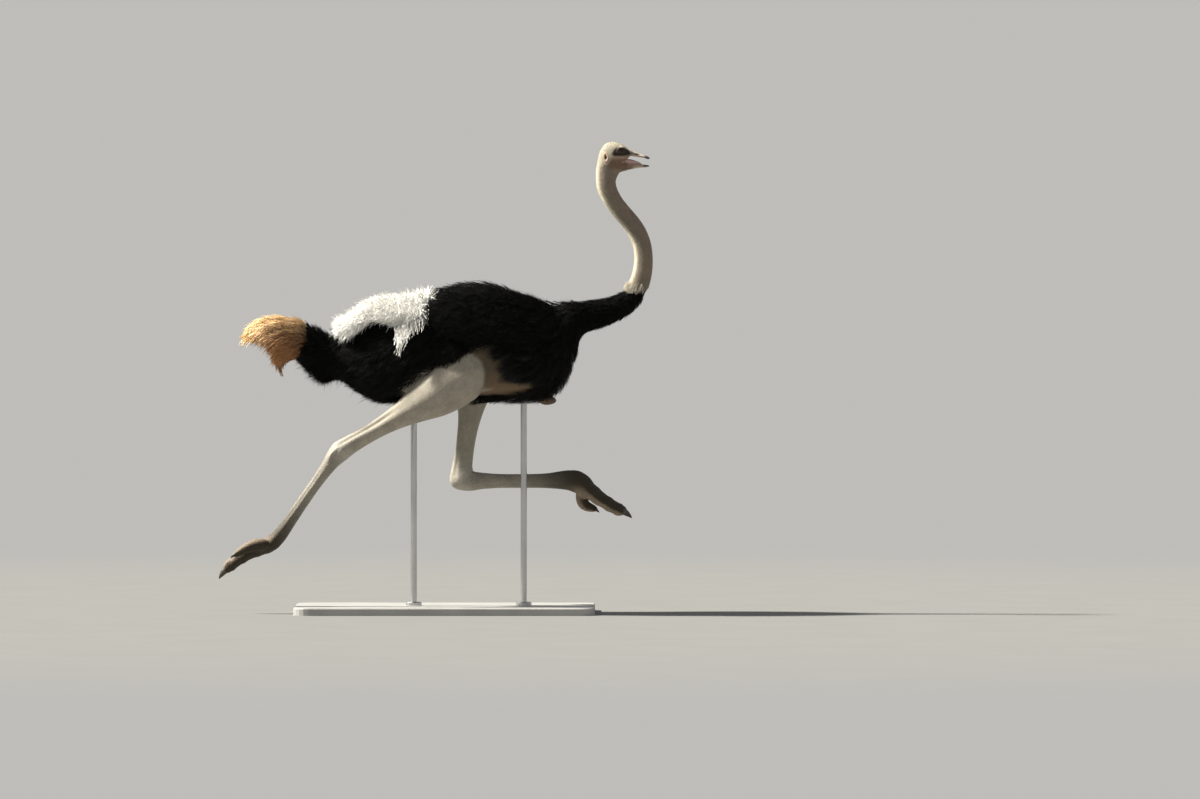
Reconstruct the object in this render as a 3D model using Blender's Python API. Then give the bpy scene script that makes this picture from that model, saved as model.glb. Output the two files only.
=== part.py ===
"""A running male ostrich, life size, held in mid stride on a plain display stand.

Units are metres, +Z is up, and the bird runs along +X. Its right side faces -Y. The origin is the
middle of the base plate's underside. The solids reach out to the tips of the plumage.

Each body part is a tube: a row of cross-sections, each with a centre and three half axes, one
towards the bird's back or front, one the other way and one to the side. The trunk, neck and head
are lengths of one tube, parted by flat cuts, and parts that sink into each other are parted by
Booleans that leave a thin clearance.
"""

import math

import bmesh
import bpy
import numpy as np

# Clearances between neighbouring solids.
GAP = 0.0005
RIGHT, LEFT = -1, 1
SHARP_ANGLE = 40  # degrees: edges sharper than this stay crisp

# Tail coverts and trunk: (back x, back z, belly x, belly z, half width) at named stations.
COVERTS = {
    "tail_root": (-0.572, 1.156, -0.580, 1.008, 0.070),
    "coverts_full": (-0.540, 1.160, -0.552, 0.960, 0.088),
    "coverts_low": (-0.498, 1.146, -0.500, 0.918, 0.095),
    "vent": (-0.445, 1.118, -0.432, 0.934, 0.090),
}
TRUNK = {
    "rump": (-0.385, 1.145, -0.372, 0.890, 0.125),
    "hind_belly": (-0.300, 1.190, -0.296, 0.843, 0.168),
    "hips": (-0.180, 1.248, -0.180, 0.830, 0.198),
    "saddle": (0.000, 1.314, 0.000, 0.828, 0.212),
    "back_top": (0.160, 1.331, 0.170, 0.835, 0.212),
    "shoulders": (0.262, 1.303, 0.300, 0.836, 0.200),
    "breastbone": (0.345, 1.262, 0.400, 0.844, 0.178),
    "breast": (0.430, 1.250, 0.482, 0.904, 0.146),
    "crop": (0.502, 1.252, 0.529, 1.030, 0.106),
    "neck_root": (0.546, 1.252, 0.545, 1.102, 0.078),
}

# Neck: it starts at NECK_START and follows rows of
# (distance along it, heading above +X in degrees, half depth towards the throat, and the nape).
NECK_START = (0.584, 1.191)
NECK = (
    (0.000, 11, 0.063, 0.063),
    (0.076, 19, 0.055, 0.055),
    (0.151, 37, 0.049, 0.049),
    (0.221, 62, 0.044, 0.045),
    (0.296, 80, 0.039, 0.042),
    (0.376, 96, 0.036, 0.041),
    (0.466, 120, 0.035, 0.043),
    (0.541, 132, 0.034, 0.043),
    (0.616, 124, 0.036, 0.042),
    (0.680, 106, 0.040, 0.042),
)
NECK_SIDE_TO_DEPTH = 0.46  # half the width over the whole depth
NECK_CUTS = (0.185, 0.376, 0.541)  # where the neck is parted into lengths

# Head and upper bill: (crown x, crown z, palate or throat x, z, half width).
HEAD = {
    "nape": (0.606, 1.792, 0.686, 1.763, 0.036),
    "ear": (0.624, 1.845, 0.696, 1.778, 0.037),
    "behind_eye": (0.650, 1.877, 0.704, 1.796, 0.039),
    "eye": (0.681, 1.884, 0.714, 1.807, 0.040),
    "lore": (0.709, 1.873, 0.727, 1.815, 0.034),
    "bill_root": (0.737, 1.856, 0.744, 1.818, 0.026),
    "nostril": (0.764, 1.842, 0.766, 1.819, 0.0235),
    "bill_front": (0.794, 1.831, 0.794, 1.817, 0.0215),
    "nail": (0.811, 1.8255, 0.811, 1.815, 0.015),
    "bill_tip": (0.819, 1.821, 0.819, 1.816, 0.006),
}
BILL_CUT = 0.745  # crown x where the bill starts

# Lower jaw: (upper edge x, z, under side x, z, half width).
JAW = {
    "joint": (0.664, 1.812, 0.660, 1.768, 0.026),
    "cheek": (0.690, 1.809, 0.690, 1.762, 0.030),
    "gape": (0.714, 1.805, 0.714, 1.767, 0.028),
    "chin": (0.742, 1.802, 0.742, 1.774, 0.0235),
    "bill": (0.775, 1.799, 0.775, 1.780, 0.0205),
    "nail": (0.803, 1.7955, 0.803, 1.783, 0.0165),
    "tip": (0.817, 1.790, 0.817, 1.785, 0.006),
}
JAW_CUT = 0.735  # x where the lower bill starts

EYE_CENTRE = (0.702, 0.0245, 1.846)
EYE_RADIUS = 0.022
EYE_DEPTH = 0.019

# Tail plumes: (upper x, z, lower x, z, half width), and the lock that droops from them.
PLUMES = {
    "spread": (-0.640, 1.188, -0.630, 1.022, 0.100),
    "fullest": (-0.712, 1.194, -0.694, 1.030, 0.115),
    "bend": (-0.772, 1.179, -0.744, 1.052, 0.108),
    "droop": (-0.812, 1.142, -0.782, 1.062, 0.085),
    "ends": (-0.827, 1.098, -0.805, 1.052, 0.050),
    "tip": (-0.820, 1.058, -0.812, 1.044, 0.016),
}
LOCK_PATH = ((-0.668, 1.060), (-0.674, 1.024), (-0.676, 0.990), (-0.664, 0.962), (-0.655, 0.942))
LOCK_HALF = (0.050, 0.040, 0.022, 0.012, 0.004)

# Wing: (x, y, z, half height, half thickness), for the left wing, and its lean over the back.
WING = (
    (0.490, 0.108, 1.176, 0.022, 0.010),
    (0.440, 0.132, 1.174, 0.068, 0.024),
    (0.340, 0.158, 1.178, 0.112, 0.032),
    (0.230, 0.174, 1.186, 0.128, 0.036),
    (0.110, 0.182, 1.192, 0.122, 0.038),
    (0.010, 0.180, 1.200, 0.098, 0.036),
    (-0.055, 0.172, 1.205, 0.052, 0.024),
)
WING_LEAN = 24.0
# White plumes of the wing, laid back along the rump.
WING_PLUMES = (
    (0.000, 0.118, 1.240, 0.050, 0.030),
    (-0.060, 0.124, 1.230, 0.084, 0.042),
    (-0.150, 0.122, 1.214, 0.082, 0.044),
    (-0.240, 0.114, 1.208, 0.076, 0.043),
    (-0.320, 0.100, 1.190, 0.064, 0.040),
    (-0.392, 0.084, 1.152, 0.052, 0.033),
    (-0.446, 0.070, 1.146, 0.028, 0.018),
)
PLUME_LEAN = 52.0

# Legs: joints as (x, y, z), with y outwards, and how far the toes turn out in degrees. Each leg's
# bends and flesh change its depth behind and in front by (bone number and share, factor).
HIP = (-0.020, 0.135, 1.105)
LEGS = {
    RIGHT: {
        "knee": (0.076, 0.165, 0.944),
        "ankle": (-0.420, 0.125, 0.652),
        "foot": (-0.690, 0.090, 0.278),
        "toe_bend": (-0.800, 0.082, 0.230),
        "toe_tip": (-0.884, 0.078, 0.168),
        "small_toe_bend": (-0.768, 0.122, 0.272),
        "small_toe_tip": (-0.846, 0.128, 0.232),
        "turn_out": 12.0,
        "behind": (
            (0.1, 1.15), (0.35, 1.0), (0.5, 1.0), (0.75, 0.88), (1.0, 0.88), (1.1, 0.72),
            (1.9, 0.75), (2.2, 1.0),
        ),
        "before": ((1.8, 1.0), (2.0, 0.95), (2.2, 1.0)),
    },
    LEFT: {
        "knee": (0.132, 0.172, 1.075),
        "ankle": (0.062, 0.130, 0.530),
        "foot": (0.536, 0.105, 0.526),
        "toe_bend": (0.642, 0.100, 0.444),
        "toe_tip": (0.726, 0.096, 0.399),
        "small_toe_bend": (0.554, 0.142, 0.434),
        "small_toe_tip": (0.610, 0.148, 0.407),
        "turn_out": 35.0,
        "behind": ((0.9, 1.0), (1.0, 1.4), (1.08, 1.0), (1.8, 1.1), (2.0, 1.3), (2.2, 1.1)),
        "before": ((1.8, 1.0), (1.95, 1.35), (2.1, 1.25), (2.25, 0.9)),
    },
}
JOINTS = (
    "knee", "ankle", "foot", "toe_bend", "toe_tip", "small_toe_bend", "small_toe_tip"
)
JOINT_ROUNDING = 0.12  # share of a bone's length over which its joint bends
# Leg sections: (bone number and share along it, front, back, half width).
LEG_SECTIONS = (
    (-0.16, 0.030, 0.030, 0.022),
    (-0.12, 0.064, 0.062, 0.046),
    (-0.04, 0.090, 0.086, 0.066),
    (0.08, 0.099, 0.094, 0.076),
    (0.24, 0.092, 0.080, 0.074),
    (0.38, 0.071, 0.066, 0.060),
    (0.52, 0.051, 0.046, 0.043),
    (0.70, 0.038, 0.038, 0.034),
    (0.84, 0.037, 0.038, 0.033),
    (0.93, 0.039, 0.042, 0.035),
    (1.00, 0.040, 0.048, 0.037),
    (1.06, 0.037, 0.047, 0.036),
    (1.13, 0.031, 0.041, 0.033),
    (1.26, 0.025, 0.033, 0.026),
    (1.50, 0.024, 0.029, 0.023),
    (1.72, 0.028, 0.028, 0.025),
    (1.90, 0.033, 0.031, 0.031),
    (2.00, 0.033, 0.035, 0.034),
    (2.08, 0.031, 0.037, 0.034),
    (2.22, 0.026, 0.035, 0.032),
    (2.42, 0.022, 0.029, 0.029),
    (2.62, 0.021, 0.026, 0.027),
    (2.82, 0.020, 0.024, 0.024),
    (2.94, 0.015, 0.018, 0.018),
    (3.00, 0.008, 0.009, 0.009),
)
ANKLE_CUT, FOOT_CUT = 1.0, 2.0
SMALL_TOE_HALF = (0.018, 0.024, 0.024, 0.021, 0.016, 0.008)
CLAW_LENGTH, CLAW_HALF, CLAW_ROOT = 0.042, 0.015, 0.018
NAIL_LENGTH, NAIL_HALF = 0.014, 0.006

BREAST_PAD = (0.405, 0.0, 0.852)
BREAST_PAD_HALF = (0.042, 0.036, 0.020)
TONGUE = ((0.722, 1.807), (0.748, 1.8085), (0.772, 1.8062))
TONGUE_HALF = ((0.010, 0.003), (0.0125, 0.0058), (0.006, 0.0028))

# Stand: a flat plate and two rods up to the belly.
BASE_SIZE = (1.20, 0.62, 0.030)
BASE_CORNER = 0.060
BASE_EDGE = 0.004
ROD_RADIUS = 0.0125
ROD_XS = {"front": 0.315, "rear": -0.125}
COLLAR_RADIUS, COLLAR_HEIGHT = 0.032, 0.014
ROD_TOP = 0.900

COLOURS = {
    "black_plumage": ((0.012, 0.013, 0.013), 0.75, 0.0),
    "white_plumage": ((0.86, 0.84, 0.78), 0.8, 0.0),
    "buff_plumage": ((0.62, 0.40, 0.20), 0.8, 0.0),
    "neck_skin": ((0.42, 0.36, 0.31), 0.7, 0.0),
    "head_skin": ((0.62, 0.55, 0.45), 0.7, 0.0),
    "leg_skin": ((0.55, 0.51, 0.47), 0.55, 0.0),
    "foot_skin": ((0.28, 0.24, 0.20), 0.6, 0.0),
    "bill_horn": ((0.55, 0.42, 0.30), 0.4, 0.0),
    "claw_horn": ((0.09, 0.07, 0.055), 0.4, 0.0),
    "eye": ((0.03, 0.02, 0.015), 0.05, 0.0),
    "mouth": ((0.62, 0.36, 0.33), 0.35, 0.0),
    "base_paint": ((0.42, 0.41, 0.39), 0.5, 0.0),
    "rod_steel": ((0.60, 0.60, 0.60), 0.3, 1.0),
}


def clear_scene():
    """Removes every object that the scene starts with."""
    for thing in list(bpy.data.objects):
        bpy.data.objects.remove(thing, do_unlink=True)


def material(name):
    """The material of that name, made on first use."""
    found = bpy.data.materials.get(name)
    if found:
        return found
    colour, roughness, metallic = COLOURS[name]
    made = bpy.data.materials.new(name)
    made.use_nodes = True
    shader = made.node_tree.nodes["Principled BSDF"]
    shader.inputs["Base Color"].default_value = (*colour, 1.0)
    shader.inputs["Roughness"].default_value = roughness
    shader.inputs["Metallic"].default_value = metallic
    return made


def through(knots, values, at):
    """A smooth curve through values at the knots, read at the places in at."""
    knots, values, at = (np.asarray(x, float) for x in (knots, values, at))
    slopes = np.gradient(values, knots, axis=0)
    i = np.clip(np.searchsorted(knots, at, side="right") - 1, 0, len(knots) - 2)
    span = knots[i + 1] - knots[i]
    u = (at - knots[i]) / span
    if values.ndim > 1:
        u, span = u[:, None], span[:, None]
    return (
        (1 + 2 * u) * (1 - u) ** 2 * values[i]
        + u * (1 - u) ** 2 * span * slopes[i]
        + u * u * (3 - 2 * u) * values[i + 1]
        + u * u * (u - 1) * span * slopes[i + 1]
    )


def unit(vectors):
    """The same directions, each of length 1."""
    return vectors / np.linalg.norm(vectors, axis=-1, keepdims=True)


class Tube:
    """A row of cross-sections. Each has a centre and three half axes, as arrays of 3-vectors."""

    def __init__(self, centre, up, down, side, power=2.0):
        self.centre, self.up, self.down, self.side = centre, up, down, side
        self.power = power

    def normal(self):
        """The direction square to each section, on the side to which the tube runs on."""
        square = unit(np.cross(self.side, self.up - self.down))
        onward = np.gradient(self.centre, axis=0)
        return square * np.sign(np.sum(square * onward, axis=1, keepdims=True))

    def part(self, first, last, trim_first=True, trim_last=True):
        """The sections from first to last, drawn back from a cut at either end."""
        keep = slice(first, last + 1)
        centre = self.centre[keep].copy()
        normal = self.normal()[keep]
        centre[0] += normal[0] * GAP / 2 * trim_first
        centre[-1] -= normal[-1] * GAP / 2 * trim_last
        return Tube(centre, self.up[keep], self.down[keep], self.side[keep], self.power)

    def rings(self, points):
        """Points round every section, as an array of sections by points by 3."""
        turn = np.arange(points) * 2 * math.pi / points
        rounding = 2 / self.power
        c, s = np.cos(turn), np.sin(turn)
        above = np.maximum(c, 0) ** rounding
        below = np.maximum(-c, 0) ** rounding
        across = np.sign(s) * np.abs(s) ** rounding
        return (
            self.centre[:, None]
            + above[None, :, None] * self.up[:, None]
            + below[None, :, None] * self.down[:, None]
            + across[None, :, None] * self.side[:, None]
        )


def closed_mesh(tube, points):
    """A closed bmesh of triangles over a tube's sections, its ends capped flat."""
    mesh = bmesh.new()
    loops = [[mesh.verts.new(point) for point in ring] for ring in tube.rings(points)]
    for near, far in zip(loops, loops[1:]):
        for k in range(points):
            after = (k + 1) % points
            mesh.faces.new((near[k], near[after], far[after], far[k]))
    mesh.faces.new(loops[0])
    mesh.faces.new(loops[-1])
    bmesh.ops.recalc_face_normals(mesh, faces=mesh.faces)
    return mesh


def in_scene(name, mesh):
    """Puts a bmesh into the scene as an object of flat triangles, which Booleans cut cleanly."""
    bmesh.ops.triangulate(mesh, faces=mesh.faces)
    data = bpy.data.meshes.new(name)
    mesh.to_mesh(data)
    mesh.free()
    made = bpy.data.objects.new(name, data)
    bpy.context.scene.collection.objects.link(made)
    return made


def finish(name, mesh, paint):
    """Puts a bmesh into the scene as a part, smooth and in its own material."""
    made = in_scene(name, mesh)
    made.data.materials.append(material(paint))
    made.data.shade_smooth()
    made.data.set_sharp_from_angle(angle=math.radians(SHARP_ANGLE))
    return made


def solid(name, tube, points, paint):
    """A part over a tube's sections, with that many points round each."""
    return finish(name, closed_mesh(tube, points), paint)


def swollen(name, mesh):
    """A hidden cutter: the bmesh swollen by the clearance."""
    bmesh.ops.triangulate(mesh, faces=mesh.faces)
    mesh.normal_update()
    for vertex in mesh.verts:
        vertex.co += vertex.normal * GAP
    made = in_scene(name + "_cutter", mesh)
    made.hide_render = True
    made.display_type = "WIRE"
    return made


def cutter(part):
    """A cutter the shape of a part, a clearance larger all round."""
    mesh = bmesh.new()
    mesh.from_mesh(part.data)
    return swollen(part.name, mesh)


def cut(target, *cutters):
    """Takes each cutter out of the target."""
    for tool in cutters:
        boolean = target.modifiers.new("less_" + tool.name, "BOOLEAN")
        boolean.operation = "DIFFERENCE"
        boolean.solver = "EXACT"
        boolean.object = tool


def upright_tube(rows, sections, power=2.0):
    """A tube in the bird's middle plane from rows of (upper x, z, lower x, z, half width)."""
    rows = np.array(rows, float)
    middle = (rows[:, 0:2] + rows[:, 2:4]) / 2
    knots = np.concatenate([[0], np.cumsum(np.linalg.norm(np.diff(middle, axis=0), axis=1))])
    smooth = through(knots, rows, np.interp(sections, np.arange(len(rows)), knots))
    flat = np.zeros(len(smooth))
    high = np.stack([smooth[:, 0], flat, smooth[:, 1]], 1)
    low = np.stack([smooth[:, 2], flat, smooth[:, 3]], 1)
    centre = (high + low) / 2
    side = np.stack([flat, smooth[:, 4], flat], 1)
    return Tube(centre, high - centre, low - centre, side, power)


def neck_rows():
    """Rows for the neck, from its headings: each step goes on by its length at the mean heading."""
    table = np.array(NECK, float)
    steps = 8
    along = np.linspace(0, table[-1, 0], (len(table) - 1) * steps + 1)
    heading = np.radians(through(table[:, 0], table[:, 1], along))
    throat, nape = through(table[:, 0], table[:, 2:], along).T
    mean = (heading[1:] + heading[:-1]) / 2
    step = np.diff(along)[:, None] * np.stack([np.cos(mean), np.sin(mean)], 1)
    line = np.array(NECK_START) + np.concatenate([[[0, 0]], np.cumsum(step, axis=0)])
    square = np.stack([-np.sin(heading), np.cos(heading)], 1)
    back, front = line + square * nape[:, None], line - square * throat[:, None]
    side = NECK_SIDE_TO_DEPTH * (nape + throat)[:, None]
    return np.concatenate([back, front, side], axis=1)[::4], along[::4]


def axial_body():
    """Tail coverts, trunk, neck and head, cut into their lengths."""
    neck, along = neck_rows()
    rows = [*COVERTS.values(), *TRUNK.values(), *neck, *HEAD.values()]
    first_trunk = len(COVERTS) - 1
    first_neck = len(COVERTS) + len(TRUNK)
    first_head = first_neck + len(neck)
    sections = np.concatenate(
        [
            np.arange(0, first_trunk, 0.75),
            np.linspace(first_trunk, first_neck, 15)[:-1],
            np.arange(first_neck, first_head),
            np.arange(first_head, len(rows) - 1, 0.5),
            [len(rows) - 1],
        ]
    )
    tube = upright_tube(rows, sections)

    def at(row):
        return int(np.argmin(np.abs(sections - row)))

    cuts = [at(first_neck + np.argmin(np.abs(along - place))) for place in NECK_CUTS]
    crown_x = tube.centre[:, 0] + tube.up[:, 0]
    head = at(first_head)
    bill = head + int(np.argmin(np.abs(crown_x[head:] - BILL_CUT)))
    last = len(sections) - 1
    neck_start = at(first_neck)
    made = {}
    for name, first, end, points, paint in (
        ("tail_coverts", 0, at(first_trunk), 16, "black_plumage"),
        ("trunk", at(first_trunk), neck_start, 18, "black_plumage"),
        ("neck_base", neck_start, cuts[0], 18, "black_plumage"),
        ("neck_lower", cuts[0], cuts[1], 16, "neck_skin"),
        ("neck_middle", cuts[1], cuts[2], 16, "neck_skin"),
        ("neck_upper", cuts[2], head, 16, "neck_skin"),
        ("head", head, bill, 16, "head_skin"),
        ("bill_upper", bill, last, 12, "bill_horn"),
    ):
        piece = tube.part(first, end, first > 0, end < last)
        made[name] = solid(name, piece, points, paint)
    return made


def jaw():
    """The lower jaw, from inside the cheek to the tip of the lower bill."""
    rows = list(JAW.values())
    sections = np.concatenate([np.arange(0, len(rows) - 1, 0.5), [len(rows) - 1]])
    tube = upright_tube(rows, sections, power=2.4)
    split = int(np.argmin(np.abs(tube.centre[:, 0] - JAW_CUT)))
    last = len(sections) - 1
    return {
        "jaw": solid("jaw", tube.part(0, split, False), 12, "head_skin"),
        "bill_lower": solid("bill_lower", tube.part(split, last, True, False), 12, "bill_horn"),
        "cutter": swollen("jaw", closed_mesh(tube, 12)),
    }


def ball(name, centre, half, paint, rings=8, points=12):
    """An ellipsoid with its poles to the sides."""
    mesh = bmesh.new()
    bmesh.ops.create_uvsphere(mesh, u_segments=points, v_segments=rings, radius=1)
    for vertex in mesh.verts:
        x, y, z = vertex.co
        vertex.co = (
            centre[0] + x * half[0],
            centre[1] + z * half[1],
            centre[2] - y * half[2],
        )
    bmesh.ops.recalc_face_normals(mesh, faces=mesh.faces)
    return finish(name, mesh, paint)


def eyes():
    """Both eyeballs, a little flattened from side to side."""
    x, y, z = EYE_CENTRE
    half = (EYE_RADIUS, EYE_DEPTH, EYE_RADIUS)
    return [
        ball("eye_" + name, (x, side * y, z), half, "eye")
        for side, name in ((RIGHT, "right"), (LEFT, "left"))
    ]


def leaning_tube(rows, lean, side, sections):
    """A flat tube along the flank, its sections leaning over the back."""
    rows = np.array(rows, float)
    smooth = through(np.arange(len(rows)), rows, sections)
    slope = math.radians(lean)
    flat = np.zeros(len(smooth))
    centre = smooth[:, :3] * (1, side, 1)
    high = smooth[:, 3:4] * np.array([[0, -side * math.sin(slope), math.cos(slope)]])
    out = smooth[:, 4:5] * np.array([[0, math.cos(slope), side * math.sin(slope)]])
    high[:, 0] = flat
    return Tube(centre, high, -high, out, power=2.2)


def wings():
    """Each wing's black coverts and the white plumes behind them."""
    made = {}
    for side, name in ((RIGHT, "right"), (LEFT, "left")):
        count = 10
        sections = np.linspace(0, len(WING) - 1, count)
        tube = leaning_tube(WING, WING_LEAN, side, sections)
        wing = solid("wing_" + name, tube, 12, "black_plumage")
        sections = np.linspace(0, len(WING_PLUMES) - 1, count)
        tube = leaning_tube(WING_PLUMES, PLUME_LEAN, side, sections)
        plumes = solid("wing_plumes_" + name, tube, 10, "white_plumage")
        cut(wing, cutter(plumes))
        made[side] = [cutter(wing), cutter(plumes)]
    return made


def tail_plumes():
    """The buff tail plumes, and the lock that hangs below them."""
    rows = [COVERTS["tail_root"], *PLUMES.values()]
    sections = np.concatenate([np.arange(0, len(rows) - 1, 0.75), [len(rows) - 1]])
    tube = upright_tube(rows, sections)
    plumes = solid("tail_plumes", tube.part(0, len(sections) - 1, True, False), 14, "buff_plumage")
    path = np.array(LOCK_PATH)
    half = np.array(LOCK_HALF)[:, None]
    heading = unit(np.gradient(path, axis=0))
    across = np.stack([heading[:, 1], -heading[:, 0]], 1) * half
    rows = np.concatenate([path - across, path + across, half * 0.8], axis=1)
    lock = solid(
        "tail_lock", upright_tube(rows, np.linspace(0, len(rows) - 1, 7)), 8, "buff_plumage"
    )
    cut(lock, cutter(plumes))
    return [plumes, lock]


def rounded_path(corners, places):
    """Points along straight bones whose joints are rounded, at places counted in bones."""
    corners = np.array(corners, float)
    found = []
    for place in places:
        joint = int(np.clip(round(place), 0, len(corners) - 1))
        bone = int(np.clip(math.floor(place), 0, len(corners) - 2))
        offset = place - joint
        if 0 < joint < len(corners) - 1 and abs(offset) < JOINT_ROUNDING:
            before = corners[joint] + (corners[joint - 1] - corners[joint]) * JOINT_ROUNDING
            after = corners[joint] + (corners[joint + 1] - corners[joint]) * JOINT_ROUNDING
            u = (offset / JOINT_ROUNDING + 1) / 2
            point = (1 - u) ** 2 * before + 2 * u * (1 - u) * corners[joint] + u * u * after
        else:
            point = corners[bone] + (corners[bone + 1] - corners[bone]) * (place - bone)
        found.append(point)
    return np.array(found)


def limb_tube(corners, places, front, back, half_width, turn_out):
    """A limb's tube. Its front faces away from the heel side, turned outwards by turn_out."""
    path = rounded_path(corners, places)
    nudge = 0.01
    ahead = rounded_path(corners, [place + nudge for place in places])
    behind = rounded_path(corners, [place - nudge for place in places])
    heading = unit(ahead - behind)
    across = np.array([[0.0, 1.0, 0.0]])
    rearward = unit(np.cross(across, heading))
    across = unit(np.cross(heading, rearward))
    angle = np.radians(turn_out)[:, None]
    rearward, across = (
        rearward * np.cos(angle) + across * np.sin(angle),
        across * np.cos(angle) - rearward * np.sin(angle),
    )
    return Tube(
        path,
        -rearward * np.asarray(front)[:, None],
        rearward * np.asarray(back)[:, None],
        across * np.asarray(half_width)[:, None],
    )


def claw(name, toe_end, heading, length, half, paint):
    """A curved horn that grows on from a toe's end."""
    share = np.linspace(0, 1, 5)
    drop = np.array([0.0, 0.0, -1.0])
    curl = length * 0.30
    path = toe_end + np.outer(share * length, heading) + np.outer(share**2 * curl, drop)
    direction = unit(np.gradient(path, axis=0))
    across = unit(np.cross([0.0, 1.0, 0.0], direction))
    side = unit(np.cross(direction, across))
    width = (half * (1 - 0.9 * share**1.5))[:, None]
    return solid(name, Tube(path, across * width, -across * width * 0.7, side * width), 8, paint)


def leg(side, name):
    """Drumstick, tarsus, big toe, small toe and claws of one leg, and the thigh above them."""
    pose = LEGS[side]
    joints = {key: np.array(pose[key]) * (1, side, 1) for key in JOINTS}
    places, front, back, half_width = np.array(LEG_SECTIONS).T
    front = front * np.interp(places, *np.array(pose["before"]).T)
    back = back * np.interp(places, *np.array(pose["behind"]).T)
    corners = [joints["knee"], joints["ankle"], joints["foot"], joints["toe_tip"]]
    turn_out = np.interp(places, [1.9, 2.3], [0.0, side * pose["turn_out"]])
    tube = limb_tube(corners, places, front, back, half_width, turn_out)
    bend = joints["toe_bend"] - (joints["foot"] + joints["toe_tip"]) / 2
    arch = np.where(places > FOOT_CUT, np.sin(math.pi * np.clip(places - FOOT_CUT, 0, 1)), 0)
    tube.centre = tube.centre + arch[:, None] * bend

    def at(place):
        return int(np.argmin(np.abs(places - place)))

    last = len(places) - 1
    ankle, foot = at(ANKLE_CUT), at(FOOT_CUT)
    drumstick = solid("drumstick_" + name, tube.part(0, ankle, False), 14, "leg_skin")
    tarsus = solid("tarsus_" + name, tube.part(ankle, foot), 12, "leg_skin")
    big_toe = solid("big_toe_" + name, tube.part(foot, last, True, False), 12, "foot_skin")
    heading = unit(tube.centre[-1] - tube.centre[-4])
    start = tube.centre[-1] - heading * CLAW_ROOT + tube.up[-1] * 0.3
    big_claw = claw("big_claw_" + name, start, heading, CLAW_LENGTH, CLAW_HALF, "claw_horn")
    cut(big_toe, cutter(big_claw))

    half = np.array(SMALL_TOE_HALF)
    root = joints["foot"] * 0.75 + joints["small_toe_bend"] * 0.25 + (0.006, side * 0.012, 0)
    small = [root, joints["small_toe_bend"], joints["small_toe_tip"]]
    line = through([0, 1, 2], np.array(small), np.linspace(0, 2, len(half)))
    direction = unit(np.gradient(line, axis=0))
    across = unit(np.cross([0.0, 1.0, 0.0], direction))
    out = unit(np.cross(direction, across))
    small_tube = Tube(line, across * half[:, None], -across * half[:, None], out * half[:, None])
    small_toe = solid("small_toe_" + name, small_tube, 10, "foot_skin")
    nail_start = line[-1] - direction[-1] * NAIL_HALF
    nail = claw("small_claw_" + name, nail_start, direction[-1], NAIL_LENGTH, NAIL_HALF, "claw_horn")
    cut(small_toe, cutter(nail), cutter(big_toe), cutter(tarsus))

    thigh = thigh_of(side, name, joints["knee"])
    cut(thigh, cutter(drumstick))
    return {"thigh": thigh, "drumstick": drumstick}


def thigh_of(side, name, knee):
    """The thigh's mass, from the hip inside the trunk down to the knee."""
    hip = np.array(HIP) * (1, side, 1)
    share = np.array([0.0, 0.12, 0.35, 0.65, 0.9, 1.0])
    half = np.array([0.030, 0.066, 0.086, 0.088, 0.070, 0.030])[:, None]
    path = hip + share[:, None] * (knee - hip)
    heading = unit(np.broadcast_to(knee - hip, path.shape))
    across = unit(np.cross([0.0, 1.0, 0.0], heading))
    out = unit(np.cross(heading, across))
    tube = Tube(path, across * half, -across * half, out * half * 0.75)
    return solid("thigh_" + name, tube, 12, "leg_skin")


def breast_pad():
    """The bare callus under the breastbone."""
    return ball("breast_pad", BREAST_PAD, BREAST_PAD_HALF, "foot_skin", 8, 12)


def tongue():
    """The short tongue on the floor of the open mouth."""
    rows = [
        (x, z + half[1], x, z - half[1], half[0]) for (x, z), half in zip(TONGUE, TONGUE_HALF)
    ]
    return solid("tongue", upright_tube(rows, np.linspace(0, len(rows) - 1, 5)), 10, "mouth")


def base_plate():
    """A flat plate with rounded corners and a small bevel, standing on the floor."""
    length, width, height = BASE_SIZE
    mesh = bmesh.new()
    bmesh.ops.create_cube(mesh, size=1)
    for vertex in mesh.verts:
        vertex.co = (
            vertex.co.x * length,
            vertex.co.y * width,
            (vertex.co.z + 0.5) * height,
        )
    corners = [e for e in mesh.edges if abs(e.verts[0].co.z - e.verts[1].co.z) > height / 2]
    bmesh.ops.bevel(
        mesh, geom=corners, offset=BASE_CORNER, segments=5, profile=0.5, affect="EDGES"
    )
    rim = [e for e in mesh.edges if min(v.co.z for v in e.verts) > height * 0.9]
    bmesh.ops.bevel(mesh, geom=rim, offset=BASE_EDGE, segments=1, profile=0.5, affect="EDGES")
    return finish("stand_base", mesh, "base_paint")


def rod(name, x, belly_cutter):
    """A round rod with a collar at its foot, its top shaped to the belly."""
    floor = BASE_SIZE[2] + GAP
    profile = (
        (floor, COLLAR_RADIUS),
        (floor + COLLAR_HEIGHT * 0.7, COLLAR_RADIUS),
        (floor + COLLAR_HEIGHT, COLLAR_RADIUS * 0.85),
        (floor + COLLAR_HEIGHT, ROD_RADIUS),
        (ROD_TOP, ROD_RADIUS),
    )
    heights = np.array([z for z, _ in profile])
    radii = np.array([r for _, r in profile])
    centre = np.stack([np.full(len(heights), x), np.zeros(len(heights)), heights], 1)
    along = np.outer(radii, (1.0, 0.0, 0.0))
    made = solid("stand_rod_" + name, Tube(centre, along, -along, np.outer(radii, (0, 1, 0))), 20,
                 "rod_steel")
    cut(made, belly_cutter)
    return made


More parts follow.
